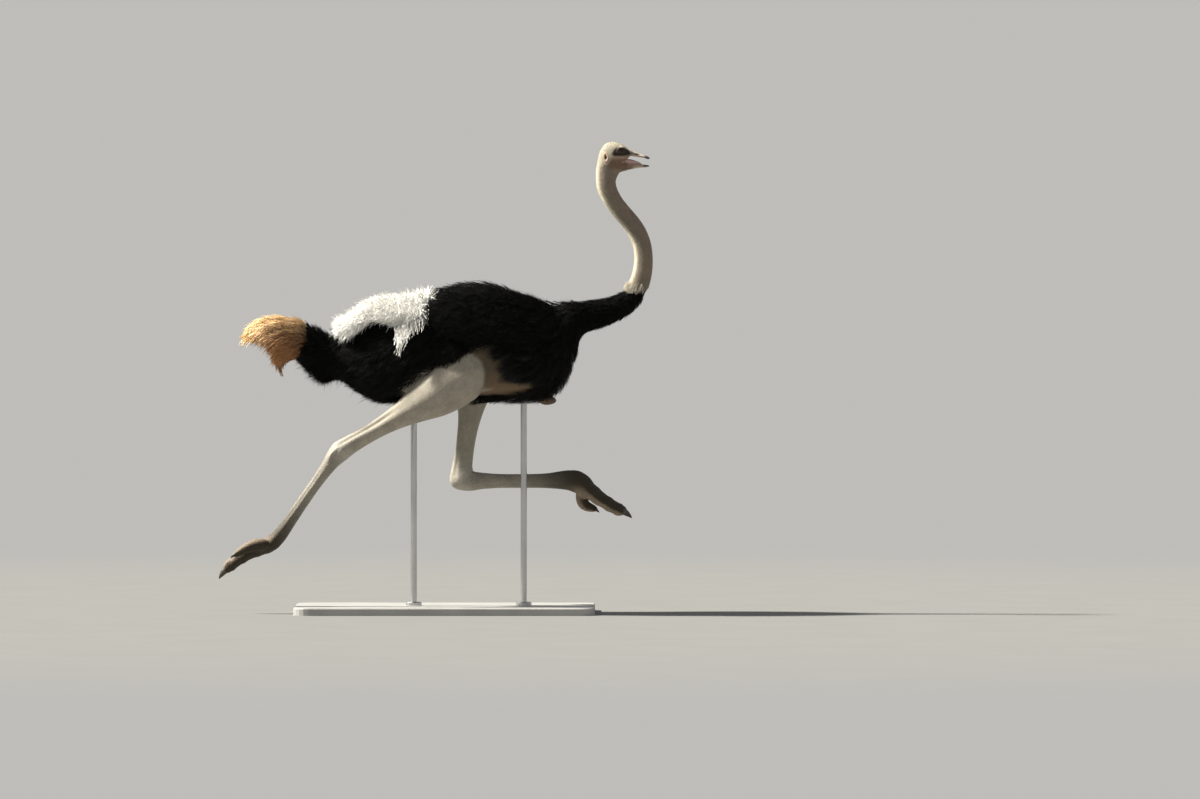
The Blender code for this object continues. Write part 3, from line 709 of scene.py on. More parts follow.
@dataclass
class AxialForm:
    """Tail coverts, trunk, neck, head and upper bill: one tube in the bird's middle plane."""

    # Upper x and z, lower x and z and half width: four rows of tail coverts, then the trunk from
    # the rump over hips, back and breast to the root of the neck.
    trunk: Rows = mm(
        5,
        -572, 1156, -580, 1008, 70, -540, 1160, -552, 960, 88,
        -498, 1146, -500, 918, 95, -445, 1118, -432, 934, 90,
        -385, 1145, -372, 890, 125, -300, 1190, -296, 843, 168,
        -180, 1248, -180, 830, 198, 0, 1314, 0, 828, 212,
        160, 1331, 170, 835, 212, 262, 1303, 300, 836, 200,
        345, 1262, 400, 844, 178, 430, 1250, 482, 904, 146,
        502, 1252, 529, 1030, 106, 546, 1252, 545, 1102, 78,
    )
    neck_start: Row = (0.584, 1.191)
    # Distance along the neck, heading above +X in degrees, half depth to the throat, to the nape.
    neck: Row = (
        0.000, 11, 0.063, 0.063, 0.076, 19, 0.055, 0.055, 0.151, 37, 0.049, 0.049,
        0.221, 62, 0.044, 0.045, 0.296, 80, 0.039, 0.042, 0.376, 96, 0.036, 0.041,
        0.466, 120, 0.035, 0.043, 0.541, 132, 0.034, 0.043, 0.616, 124, 0.036, 0.042,
        0.680, 106, 0.040, 0.042,
    )
    neck_side_to_depth: float = 0.46
    # Nape, ear, behind the eye, eye, lore, bill root, nostril, front of the bill, nail and tip.
    head: Rows = mm(
        5,
        606, 1792, 697, 1755.5, 36, 621, 1850, 707, 1769, 37,
        645, 1880, 710, 1786, 39, 678, 1885.5, 714, 1807, 40,
        709, 1876, 727, 1815, 34, 737, 1856, 744, 1818, 26,
        764, 1842, 766, 1819, 23.5, 794, 1831, 794, 1817, 21.5,
        811, 1825.5, 811, 1815, 15, 819, 1821, 819, 1816, 6,
    )
    fine: int = 8  # table rows from one named row to the next
    points: int = 72
    # Coat depth over the skin at named rows, from the tail root to the neck root.
    depths: Row = (
        0.034, 0.042, 0.044, 0.040, 0.038, 0.034, 0.030, 0.028, 0.024, 0.022, 0.022, 0.021, 0.019,
        0.016,
    )
    neck_depth: float = 0.013  # under the black feathers of the neck
    down_depth: float = 0.003  # under the down of the bare neck
    head_depth: float = 0.0016
    # Where the black feathers of the neck end: place at the nape, how much further at the throat.
    collar: tuple[float, float] = (0.206, 0.026)

    def neck_rows(self) -> tuple[Array, Array]:
        """Rows for the neck, each a step on at the mean heading, and their distances along it."""
        table = np.reshape(self.neck, (-1, 4))
        places, steps = table[:, 0], 8
        along = np.linspace(0, places[-1], (len(table) - 1) * steps + 1)
        heading = np.radians(through(places, table[:, 1], along))
        throat, nape = through(places, table[:, 2:], along).T
        mean = (heading[1:] + heading[:-1]) / 2
        step = np.diff(along)[:, None] * np.stack([np.cos(mean), np.sin(mean)], 1)
        line = np.array(self.neck_start) + np.concatenate([[[0, 0]], np.cumsum(step, axis=0)])
        square = np.stack([-np.sin(heading), np.cos(heading)], 1)
        back, front = line + square * nape[:, None], line - square * throat[:, None]
        side = self.neck_side_to_depth * (nape + throat)[:, None]
        return np.concatenate([back, front, side], axis=1)[::4], along[::4]

    def __post_init__(self) -> None:
        """Works out the rows and the outer surface."""
        neck, self.neck_places = self.neck_rows()
        self.first_neck = len(self.trunk)
        self.neck_named = self.first_neck + np.arange(len(neck))
        self.first_head = self.first_neck + len(neck)
        self.rows = np.array([*self.trunk, *neck, *self.head], float)
        last = len(self.rows) - 1
        self.tube = upright_tube(self.rows, np.linspace(0, last, last * self.fine + 1))
        self.hide = Hide(self.tube.rings(self.points))
        self.skin = self.hide.sunk(self.depth())

    def row_on_neck(self, place: Array) -> Array:
        """The table row at a distance along the neck."""
        return np.interp(place, self.neck_places, self.neck_named) * self.fine

    def place_of_row(self, row: Array) -> Array:
        """The distance along the neck at a table row, below 0 on the trunk."""
        named = np.asarray(row, float) / self.fine
        beyond = np.minimum(named - self.first_neck, 0) * 0.03
        return np.interp(named, self.neck_named, self.neck_places) + beyond

    def collar_at(self, turn: Array) -> Array:
        """The distance along the neck at which the black feathers end."""
        start, further = self.collar
        return start + further * (1 - np.cos(TURN * turn)) / 2

    def depth(self) -> Array:
        """How deep the skin lies under the outer surface, at every point of the table."""
        named = np.arange(self.hide.rows) / self.fine
        trunk = np.interp(named, np.arange(len(self.depths)), self.depths)
        place = self.place_of_row(np.arange(self.hide.rows))
        bare = ramp(0.0, 0.035, place[:, None] - self.collar_at(self.hide.turns())[None] + 0.02)
        feathered = np.where(place > 0, self.neck_depth, trunk)[:, None]
        head = ramp(self.first_head - 1, self.first_head + 1, named)[:, None]
        unfeathered = self.down_depth * (1 - head) + self.head_depth * head
        depth = feathered * (1 - bare) + unfeathered * bare
        return depth * (1 - 0.3 * bare_flank(self.hide.points))


# Outlines, seen from the side as x and z, of what is bare of feathers round each thigh.
NAKED = {
    RIGHT: mm(
        2,
        -180, 849, -148, 892, -105, 940, -73, 961, -32, 984, 12, 993, 55, 1016, 96, 1041, 112, 1068,
        148, 1078, 183, 1064, 192, 1020, 224, 977, 236, 924, 268, 920, 343, 913, 348, 892, 311, 876,
        236, 871, 140, 871, 60, 862, -50, 840, -150, 830,
    ),
    LEFT: mm(
        2,
        20, 800, 28, 900, 34, 970, 52, 1012, 90, 1036, 150, 1046, 200, 1032, 235, 990, 252, 950,
        300, 925, 345, 912, 348, 892, 311, 876, 236, 871, 160, 866, 130, 800,
    ),
}
# Outline of each pale thigh where it stands out from the darker skin of the flank.
THIGHS = {
    RIGHT: mm(
        2,
        -300, 800, -200, 900, -100, 965, -20, 1010, 50, 1040, 110, 1040, 146, 1010, 161, 965, 158, 916,
        138, 870, 100, 800, 0, 600, -400, 500,
    ),
    LEFT: mm(
        2,
        -40, 800, -20, 950, 15, 1020, 75, 1062, 150, 1068, 200, 1035, 222, 980, 210, 910, 190, 800,
        180, 500, -60, 500,
    ),
}


def bare_flank(points: Array) -> Array:
    """How bare each point of the trunk is: 1 on the naked skin of the flank, 0 under feathers."""
    x, y, z = np.moveaxis(points, -1, 0)
    inside = np.where(y < 0, within(x, z, NAKED[RIGHT]), within(x, z, NAKED[LEFT]))
    return ramp(-0.010, 0.012, inside) * ramp(0.05, 0.08, np.abs(y))


@dataclass
class HeadForm:
    """The head's own forms: jaw, lids, brow, ear, eyes and mouth."""

    # Upper edge x and z, under side x and z and half width: joint, cheek, gape, chin, bill, nail, tip.
    jaw: Rows = mm(
        5,
        664, 1812, 660, 1768, 26, 690, 1809, 690, 1762, 30,
        714, 1805, 714, 1767, 28, 742, 1802, 742, 1774, 23.5,
        775, 1799, 775, 1780, 20.5, 803, 1795.5, 803, 1783, 16.5,
        817, 1790, 817, 1785, 6,
    )
    tongue: Rows = mm(
        5,
        708, 1815, 708, 1793, 10, 727, 1818, 727, 1791, 12,
        747, 1814.5, 747, 1789.5, 12.8, 767, 1808, 767, 1790, 11.5,
        787, 1799.5, 787, 1790, 8.5,
    )
    fold: Rows = mm(
        5,
        690, 1828, 690, 1798, 3, 700, 1826, 700, 1799, 3.6,
        710, 1823, 710, 1801, 3.4, 719.5, 1818.5, 719.5, 1804.5, 2.2,
    )
    bill_cut: float = 0.745  # crown x where the upper bill starts
    eye: Row = (0.702, 0.0245, 1.846)
    eye_radius: float = 0.0212
    eye_depth: float = 0.0186
    gaze_forward: float = 12.0  # degrees that the eyes look forward of square
    opening: Row = (44.0, 27.0, 27.0)  # degrees: to the corners, up, down
    ear: Row = (0.643, 1.822)
    ear_half: Row = (0.0058, 0.0115)
    nostril: Row = (0.767, 1.8345)
    nostril_half: Row = (0.0085, 0.0027)
    # Outline of the dark skin from behind the eye to the nostril.
    mask: Rows = mm(
        2,
        669, 1833, 673, 1848, 682, 1859, 696, 1864, 711, 1862, 728, 1854.5, 745, 1846.5, 762, 1838.5,
        758, 1835.5, 742, 1832.5, 722, 1828.5, 700, 1827, 680, 1827.5,
    )
    voxel: float = 0.0020

    def gaze_frame(self, side: int) -> tuple[Array, Array, Array]:
        """The eye's own axes: along the line of sight, forwards and up."""
        turn = math.radians(self.gaze_forward)
        sight = np.array([math.sin(turn), side * math.cos(turn), 0.0])
        forward = np.array([math.cos(turn), -side * math.sin(turn), 0.0])
        return sight, forward, np.array([0.0, 0.0, 1.0])

    def on_eye(self, side: int, slope: Array, turn: Array, radius: Array) -> Array:
        """Points round the eyeball.

        Args:
            side: RIGHT or LEFT.
            slope: Angle from the line of sight.
            turn: Angle round it, from forwards through up.
            radius: Distance from the eye's middle, before the eye is flattened sideways.

        Returns:
            The points.
        """
        sight, forward, up = self.gaze_frame(side)
        slope, turn, radius = (np.asarray(a)[..., None] for a in (slope, turn, radius))
        round_it = np.cos(turn) * forward + np.sin(turn) * up
        flat = np.array([1.0, self.eye_depth / self.eye_radius, 1.0])
        middle = np.array(self.eye) * (1, side, 1)
        return middle + radius * (np.cos(slope) * sight + np.sin(slope) * round_it) * flat

    def lid_edge(self, turn: Array) -> Array:
        """The almond edge of the lids: a superellipse of slopes, pointed at the corners."""
        across, above, below = np.radians(self.opening)
        tall = np.where(np.sin(turn) > 0, above, below)
        power = 1.65
        sharp = np.abs(np.cos(turn) / across) ** power + np.abs(np.sin(turn) / tall) ** power
        return sharp ** (-1 / power)

    def lids(self, side: int) -> Shell:
        """Both lids of one eye: a bowl over the eyeball with an almond opening and rolled rims."""
        turn = (np.arange(64) * TURN / 64)[None]
        edge = self.lid_edge(turn)
        share = np.linspace(0, 1, 14)[:, None]
        slope = edge + (math.radians(84) - edge) * share
        upper = np.maximum(np.sin(turn), 0)
        lip = (0.0013 + 0.0013 * upper) * bump(0.10, 0.12, share)
        fold = 0.0010 * bump(0.42, 0.09, share) * (0.5 + upper)
        outer = self.eye_radius + 0.0011 + lip + fold - 0.0006 * share
        rim = self.on_eye(side, edge - math.radians(1.5), turn, self.eye_radius + 0.0009 + 0 * edge)
        outside = self.on_eye(side, slope, turn + 0 * slope, outer)
        inner = np.full_like(slope, self.eye_radius - 0.002)
        inside = self.on_eye(side, slope[::-1], turn + 0 * slope, inner)
        return hooped(np.concatenate([rim, outside, inside]))

    def swellings(self, side: int) -> list[Shell]:
        """The ridge over the eye that shades it, and the jaw muscle behind the gape."""
        brow = ball((0.6935, side * 0.0238, 1.8650), (0.0225, 0.0076, 0.0044))
        return [brow, ball((0.668, side * 0.0235, 1.800), (0.022, 0.0095, 0.021))]

    def gape(self, side: int) -> Shell:
        """The fold of skin that joins the jaws at the corner of the mouth."""
        tube = upright_tube(self.fold, np.linspace(0, 3, 13))
        tube.centre[:, 1] = np.interp(tube.centre[:, 0], (0.690, 0.7195), (0.0280, 0.0230)) * side
        return capped(tube.rings(20))

    def hollowed(self, rings: Array, below: bool, amount: Array) -> Array:
        """Presses a trough along a jaw: points near the palate or floor move to the middle.

        Args:
            rings: The jaw's rings.
            below: True for a palate, on the under side.
            amount: Share of the way to the middle, for each ring.

        Returns:
            The pressed rings.
        """
        turn = np.arange(rings.shape[1]) / rings.shape[1]
        off = np.abs((turn - (0.5 if below else 0.0) + 0.5) % 1 - 0.5)
        press = amount[:, None] * bump(0, 0.13, off)[None]
        rings, middle = rings.copy(), rings.mean(axis=1, keepdims=True)
        rings[..., 2] += press * (middle - rings)[..., 2]
        return rings

    def jaw_rings(self, first: float, last: float, count: int, points: int) -> Array:
        """Rings of the lower jaw between two named rows, its floor pressed into a trough."""
        tube = upright_tube(self.jaw, np.linspace(first, last, count), 2.4)
        amount = 0.75 * ramp(0.705, 0.735, tube.centre[:, 0]) * ramp(0.819, 0.800, tube.centre[:, 0])
        return self.hollowed(tube.rings(points), False, amount)

    def marks(self, points: Array, normals: Array) -> Array:
        """How far to move each point of the head outwards: ear opening, socket and wrinkles."""
        x, y, z = points.T
        across, high = (x - self.ear[0]) / self.ear_half[0], (z - self.ear[1]) / self.ear_half[1]
        off = np.hypot(across + 0.25 * high, high)
        opening = -0.0062 * ramp(1.05, 0.45, off) + 0.0013 * bump(1.45, 0.45, off)
        around = np.hypot((x - self.eye[0]) / 1.15, z - self.eye[2])
        pouch = 0.0009 * np.sin(around * 1500) * bump(0.027, 0.006, around) * ramp(1.85, 1.83, z)
        head = ramp(1.775, 1.80, z) * ramp(0.60, 0.63, x)
        throat = 0.0003 * np.sin(z * 700 + 90 * x + 3 * np.sin(x * 210)) * ramp(0.02, -0.4, normals[:, 2])
        neck = 0.0003 * np.sin(z * 380 + 9 * np.sin(x * 60) + 5 * np.sin(y * 110 + z * 23))
        sideways = ramp(0.4, 0.75, np.abs(normals[:, 1]))
        return sideways * head * (opening + pouch) + head * throat + (1 - head) * neck


def plate(phase: Array) -> Array:
    """A row of flat plates with a groove between them: 1 less the fourth power of the distance
    from a plate's middle, in half lengths."""
    return 1 - (2 * (phase % 1) - 1) ** 4


@dataclass
class LegForm:
    """One leg: thigh, drumstick, tarsus, big toe and small toe, with its scutes and pads."""

    side: Side
    knee: Row
    ankle: Row
    foot: Row
    toe_bend: Row
    toe_tip: Row
    small_toe_bend: Row
    small_toe_tip: Row
    turn_out: float
    # Bone number and share along it, and the half depth behind or in front over the usual one.
    behind: Rows
    before: Rows
    hip: Row = (-0.020, 0.135, 1.105)
    rounding: float = 0.12
    # Bone number and share along it, half depth in front and behind, half width.
    sections: Row = (
        -0.16, 0.030, 0.030, 0.022, -0.12, 0.064, 0.062, 0.046, -0.04, 0.090, 0.086, 0.066,
        0.08, 0.099, 0.094, 0.076, 0.24, 0.092, 0.080, 0.074, 0.38, 0.071, 0.066, 0.060,
        0.52, 0.051, 0.046, 0.043, 0.70, 0.038, 0.038, 0.034, 0.84, 0.037, 0.038, 0.033,
        0.93, 0.039, 0.042, 0.035, 1.00, 0.040, 0.048, 0.037, 1.06, 0.037, 0.047, 0.036,
        1.13, 0.031, 0.041, 0.033, 1.26, 0.025, 0.033, 0.026, 1.50, 0.024, 0.029, 0.023,
        1.72, 0.028, 0.028, 0.025, 1.90, 0.033, 0.031, 0.031, 2.00, 0.033, 0.035, 0.034,
        2.08, 0.031, 0.037, 0.034, 2.22, 0.026, 0.035, 0.032, 2.42, 0.022, 0.029, 0.029,
        2.62, 0.021, 0.026, 0.027, 2.82, 0.020, 0.024, 0.024, 2.94, 0.015, 0.018, 0.018,
        3.00, 0.008, 0.009, 0.009,
    )
    thigh: Row = (0.030, 0.066, 0.086, 0.088, 0.070, 0.030)  # its half widths
    thigh_at: Row = (0.0, 0.12, 0.35, 0.65, 0.9, 1.0)  # their shares along it
    small_toe_half: Row = (0.018, 0.024, 0.024, 0.021, 0.016, 0.008)
    claw_length: float = 0.042
    claw_half: float = 0.0165
    claw_root: float = 0.018  # how far its root is set back inside the toe
    nail_length: float = 0.020
    nail_half: float = 0.0075
    scute: float = 0.0135  # length of one scute on the shin
    points: int = 40

    def at(self, joint: Row) -> Array:
        """A joint's place on this leg's side."""
        return np.array(joint) * (1, self.side, 1)

    def rounded_path(self, places: Array) -> Array:
        """Points along straight bones whose joints are rounded by a quadratic curve."""
        corners = np.array([self.at(j) for j in (self.knee, self.ankle, self.foot, self.toe_tip)])
        last = len(corners) - 1
        joint = np.clip(np.round(places), 0, last).astype(int)
        bone = np.clip(np.floor(places), 0, last - 1).astype(int)
        offset = places - joint
        middle = corners[joint]
        before = middle + (corners[np.maximum(joint - 1, 0)] - middle) * self.rounding
        after = middle + (corners[np.minimum(joint + 1, last)] - middle) * self.rounding
        u = ((offset / self.rounding + 1) / 2)[:, None]
        curve = (1 - u) ** 2 * before + 2 * u * (1 - u) * middle + u * u * after
        straight = corners[bone] + (corners[bone + 1] - corners[bone]) * (places - bone)[:, None]
        bends = (joint > 0) & (joint < last) & (np.abs(offset) < self.rounding)
        return np.where(bends[:, None], curve, straight)

    def __post_init__(self) -> None:
        """Works out the leg's tube and its dressed surface."""
        places = np.concatenate([np.linspace(-0.16, 1.0, 86), np.linspace(1.0, 3.0, 236)[1:]])
        named, front, back, half = np.reshape(self.sections, (-1, 4)).T
        front = front * np.interp(named, *np.array(self.before).T)
        back = back * np.interp(named, *np.array(self.behind).T)
        front, back, half = through(named, np.stack([front, back, half], 1), places).T[..., None]
        nudge = 0.01
        heading = unit(self.rounded_path(places + nudge) - self.rounded_path(places - nudge))
        rearward, across = square_to(heading)
        angle = np.radians(np.interp(places, [1.9, 2.3], [0.0, self.side * self.turn_out]))[:, None]
        c, s = np.cos(angle), np.sin(angle)
        rearward, across = rearward * c + across * s, across * c - rearward * s
        bend = self.at(self.toe_bend) - (self.at(self.foot) + self.at(self.toe_tip)) / 2
        arch = np.where(places > 2, np.sin(math.pi * np.clip(places - 2, 0, 1)), 0)
        middle = self.rounded_path(places) + arch[:, None] * bend
        self.places = places
        self.tube = Tube(middle, -rearward * front, rearward * back, across * half)
        self.smooth = Hide(self.tube.rings(self.points))
        self.dressed = self.smooth.sunk(-self.relief())

    def relief(self) -> Array:
        """How far each point of the leg stands out: scutes in front, pads below, tendons behind."""
        arc, place = distances(self.tube.centre)[:, None], self.places[:, None]
        turn = self.smooth.turns()[None]
        off = np.abs((turn + 0.5) % 1 - 0.5)
        scutes = plate((arc + 0.004 * np.cos(TURN * turn)) / (self.scute - 0.004 * ramp(1.9, 2.4, place)))
        shin = ramp(1.06, 1.16, place) * ramp(0.17, 0.12, off) * ramp(2.97, 2.90, place)
        split = 1 - 0.8 * bump(0, 0.012, off) * ramp(1.9, 1.7, place)
        heel = 0.15 * ramp(1.1, 1.2, place) * ramp(1.95, 1.85, place) * ramp(0.40, 0.46, off)
        pads = ramp(2.1, 2.2, place) * ramp(0.33, 0.42, off) * np.sin(TURN * 2.2 * place) ** 2
        grooves = ramp(1.12, 1.3, place) * ramp(1.9, 1.75, place) * bump(0.335, 0.035, off)
        muscle = ramp(0.1, 0.3, place) * ramp(0.85, 0.65, place) * bump(0.33, 0.05, off)
        knob = bump(1.0, 0.035, place) * bump(0.25, 0.07, off)
        crumple = bump(1.055, 0.05, place) * (bump(0.325, 0.022, off) - 0.6 * bump(0.275, 0.02, off))
        tendon = ramp(0.45, 0.65, place) * ramp(1.01, 0.94, place) * bump(0.36, 0.032, off)
        knuckles = bump(2.28, 0.05, place) + bump(2.55, 0.045, place) + bump(2.8, 0.04, place)
        raised = 0.0013 * scutes * (shin * split + heel) + 0.0030 * pads - 0.0022 * grooves
        raised = raised - 0.0040 * muscle + 0.0035 * knob + 0.0070 * crumple * (self.side is RIGHT)
        return raised - 0.0060 * tendon + 0.0022 * knuckles * ramp(0.3, 0.1, off)

    def thigh_rings(self) -> Array:
        """The thigh's mass, from the hip inside the trunk down to the knee."""
        fine = np.linspace(0, 1, 41)
        half = through(self.thigh_at, self.thigh, fine)[:, None] * 0.96
        half = half * np.sqrt(np.clip(1 - ((fine[:, None] - 0.80) / 0.21).clip(0) ** 2, 0.01, 1))
        hip, knee = self.at(self.hip), self.at(self.knee)
        return limb(hip + fine[:, None] * (knee - hip), half, beside=0.75).rings(40)

    def small_toe(self) -> tuple[Shell, Array, Array]:
        """The small outer toe: its shell, the place of its end and the way in which it points."""
        foot, bend, tip = (self.at(j) for j in (self.foot, self.small_toe_bend, self.small_toe_tip))
        root = foot * 0.75 + bend * 0.25 + np.array((0.006, self.side * 0.012, 0))
        fine = 2 * np.linspace(0, 1, 40) ** 0.8
        line = through([0, 1, 2], np.array([root, bend, tip]), fine)
        half = through(np.linspace(0, 2, len(self.small_toe_half)), self.small_toe_half, fine)[:, None]
        half = half * np.sqrt(np.clip(1 - ((fine[:, None] - 1.76) / 0.245).clip(0) ** 2, 0.02, 1))
        surface = Hide(limb(line, half).rings(28))
        off = np.abs(surface.turns()[None] % 1 - 0.5)
        scutes = plate(fine[:, None] * 0.05 / 0.008)
        relief = 0.0009 * scutes * ramp(0.2, 0.12, off) * ramp(0.2, 0.5, fine)[:, None]
        return capped(surface.sunk(-relief).points), line[-1], unit(np.gradient(line, axis=0))[-1]

    def claw(self, start: Array, heading: Array, length: float, half: float) -> Shell:
        """A curved horn that grows on from a toe's end, flatter below than above.

        Args:
            start: The middle of its root.
            heading: The way the toe points.
            length: How long it is.
            half: Half its width at the root.

        Returns:
            The closed shell.
        """
        share = np.linspace(0, 1, 22)
        path = start + np.outer(share * length, heading) + np.outer(share**2 * length * 0.30, (0, 0, -1.0))
        width = (half * (1 - 0.93 * share**2.2))[:, None]
        return capped(limb(path, width, below=0.7, power=2.3).rings(28))

    def claws(self) -> dict[str, Shell]:
        """The big toe's claw and the small toe's nail, by the names of their solids."""
        centre, up = self.tube.centre, self.tube.up
        heading = unit(centre[-1] - centre[np.searchsorted(self.places, 2.62)])
        start = centre[-1] - heading * self.claw_root + up[-1] * 0.3
        _, end, way = self.small_toe()
        label = self.side.label
        return {
            "big_claw_" + label: self.claw(start, heading, self.claw_length, self.claw_half),
            "small_claw_" + label: self.claw(end - way * 0.011, way, self.nail_length, self.nail_half),
        }


def both_legs() -> list[LegForm]:
    """The right leg, stretched out behind, and the left, swung forward."""
    return [
        LegForm(
            side=RIGHT, turn_out=12.0,
            knee=(0.076, 0.165, 0.944), ankle=(-0.420, 0.125, 0.652), foot=(-0.690, 0.090, 0.278),
            toe_bend=(-0.800, 0.082, 0.230), toe_tip=(-0.884, 0.078, 0.168),
            small_toe_bend=(-0.768, 0.122, 0.272), small_toe_tip=(-0.846, 0.128, 0.232),
            behind=(
                (0.1, 1.15), (0.35, 1.0), (0.5, 1.0), (0.75, 0.88), (1.0, 0.88), (1.1, 0.72),
                (1.9, 0.75), (2.2, 1.0),
            ),
            before=((1.8, 1.0), (2.0, 0.95), (2.2, 1.0)),
        ),
        LegForm(
            side=LEFT, turn_out=35.0,
            knee=(0.132, 0.172, 1.075), ankle=(0.062, 0.130, 0.530), foot=(0.536, 0.105, 0.526),
            toe_bend=(0.642, 0.100, 0.444), toe_tip=(0.726, 0.096, 0.399),
            small_toe_bend=(0.554, 0.142, 0.434), small_toe_tip=(0.610, 0.148, 0.407),
            behind=((0.9, 1.0), (1.0, 1.4), (1.08, 1.0), (1.8, 1.1), (2.0, 1.3), (2.2, 1.1)),
            before=((1.8, 1.0), (1.95, 1.35), (2.1, 1.25), (2.25, 0.9)),
        ),
    ]


@dataclass
class LeaningForm:
    """A flat tube laid along the flank, its sections leaning over the back, as a wing is."""

    rows: Rows  # for the left side: x, y, z, half height, half thickness
    lean: float
    side: Side
    fine: int = 8
    points: int = 48

    def __post_init__(self) -> None:
        """Works out the tube's surface."""
        last = len(self.rows) - 1
        smooth = through(np.arange(last + 1), self.rows, np.linspace(0, last, last * self.fine + 1))
        slope, side = math.radians(self.lean), self.side
        high = smooth[:, 3:4] * np.array([[0, -side * math.sin(slope), math.cos(slope)]])
        out = smooth[:, 4:5] * np.array([[0, side * math.cos(slope), math.sin(slope)]])
        self.hide = Hide(Tube(smooth[:, :3] * (1, side, 1), high, -high, out, 2.2).rings(self.points))


WING_LEAN = 24.0
WING_COAT = 0.019  # depth of the wing's coverts
WING_ROWS = mm(
    5,
    490, 108, 1176, 22, 10, 440, 132, 1174, 68, 24,
    340, 158, 1178, 112, 32, 230, 174, 1186, 128, 36,
    110, 182, 1192, 122, 38, 10, 180, 1200, 98, 36,
    -55, 172, 1205, 52, 24,
)
PLUME_LEAN = 52.0
PLUME_ROWS = mm(
    5,
    0, 118, 1240, 50, 30, -60, 124, 1230, 84, 42,
    -150, 122, 1214, 82, 44, -240, 114, 1208, 76, 43,
    -320, 100, 1190, 64, 40, -392, 84, 1152, 52, 33,
    -446, 70, 1146, 28, 18,
)


# Skin


class Source(Enum):
    """Which form a face of the skin came from."""

    TRUNK = 0
    HEAD = 1
    LEG_RIGHT = 2
    LEG_LEFT = 3
    TOE_RIGHT = 4
    TOE_LEFT = 5
    PAD = 6


def set_colours(piece: bpy.types.Object, name: str, colours: Array) -> None:
    """Gives a mesh a colour for each vertex, as a point attribute of that name."""
    layer = piece.data.attributes.new(name, "FLOAT_COLOR", "POINT")
    full = np.ones((len(colours), 4), np.float32)
    full[:, :3] = colours
    layer.data.foreach_set("color", full.ravel())


def set_values(piece: bpy.types.Object, name: str, values: Array) -> None:
    """Gives a mesh a number for each vertex, as a point attribute of that name."""
    layer = piece.data.attributes.new(name, "FLOAT", "POINT")
    layer.data.foreach_set("value", np.asarray(values, np.float32))


def settled(
    piece: bpy.types.Object, finish: Material, slot: str, *nodes: str
) -> bpy.types.Object:
    """Gives a piece its material, lets it ride in place of the named solids, and reports it."""
    piece.data.materials.append(finish)
    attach(piece, ROOT_BODY)
    if nodes:
        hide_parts(*nodes)
    log.info("%-24s %7d faces", piece.name, len(piece.data.polygons))
    return piece


class Paint:
    """Colours for the vertices of a mesh, laid one over another."""

    def __init__(self, ground: Colour, points: Array) -> None:
        """Starts with one colour all over."""
        self.points = points
        self.colours = np.tile(np.array(ground), (len(points), 1))

    def lay(self, *coats: tuple[Colour, Array]) -> None:
        """Lays colours over what is there, each where its mask says so."""
        for colour, mask in coats:
            self.colours += (np.array(colour) - self.colours) * mask[:, None]


def evaluated_mesh(piece: bpy.types.Object) -> bpy.types.Mesh:
    """A piece's mesh with its modifiers worked out."""
    graph = bpy.context.evaluated_depsgraph_get()
    graph.update()
    return bpy.data.meshes.new_from_object(piece.evaluated_get(graph))


def remeshed(shells: list[Shell], voxel: float) -> Shell:
    """Several overlapping shells fused into one by a voxel remesh of that cell size, then smoothed."""
    block = joined(shells).put_in_scene("block")
    remesh = block.modifiers.new("fuse", "REMESH")
    remesh.mode = "VOXEL"
    remesh.voxel_size = voxel
    fused = read_shell(evaluated_mesh(block))
    bpy.data.objects.remove(block)
    return fused.relaxed(np.full(len(fused.vertices), 0.5), 3)


def united(shells: list[tuple[Shell, Source]]) -> tuple[Shell, Array]:
    """Closed shells joined into one skin by Boolean unions.

    Args:
        shells: Each shell with its source.

    Returns:
        The united shell, and the source of each of its triangles.
    """
    marks = [bpy.data.materials.new("mark") for _ in Source]
    parts = []
    for shell, source in shells:
        part = shell.put_in_scene("form")
        for mark in marks:
            part.data.materials.append(mark)
        own = np.full(len(shell.triangles), source.value, np.int32)
        part.data.polygons.foreach_set("material_index", own)
        parts.append(part)
    for tool in parts[1:]:
        union = parts[0].modifiers.new("union", "BOOLEAN")
        union.operation = "UNION"
        union.solver = "MANIFOLD"
        union.object = tool
    mesh = evaluated_mesh(parts[0])
    shell = read_shell(mesh)
    polygon = np.empty(len(mesh.loop_triangles), np.int32)
    mesh.loop_triangles.foreach_get("polygon_index", polygon)
    index = np.empty(len(mesh.polygons), np.int32)
    mesh.polygons.foreach_get("material_index", index)
    for part in parts:
        bpy.data.objects.remove(part)
    for mark in marks:
        bpy.data.materials.remove(mark)
    return shell, index[polygon]


def nearest(points: Array, places: Array) -> Array:
    """The number of the place that lies nearest to each point."""
    apart = (points**2).sum(1)[:, None] - 2 * points @ places.T + (places**2).sum(1)[None]
    return apart.argmin(axis=1)


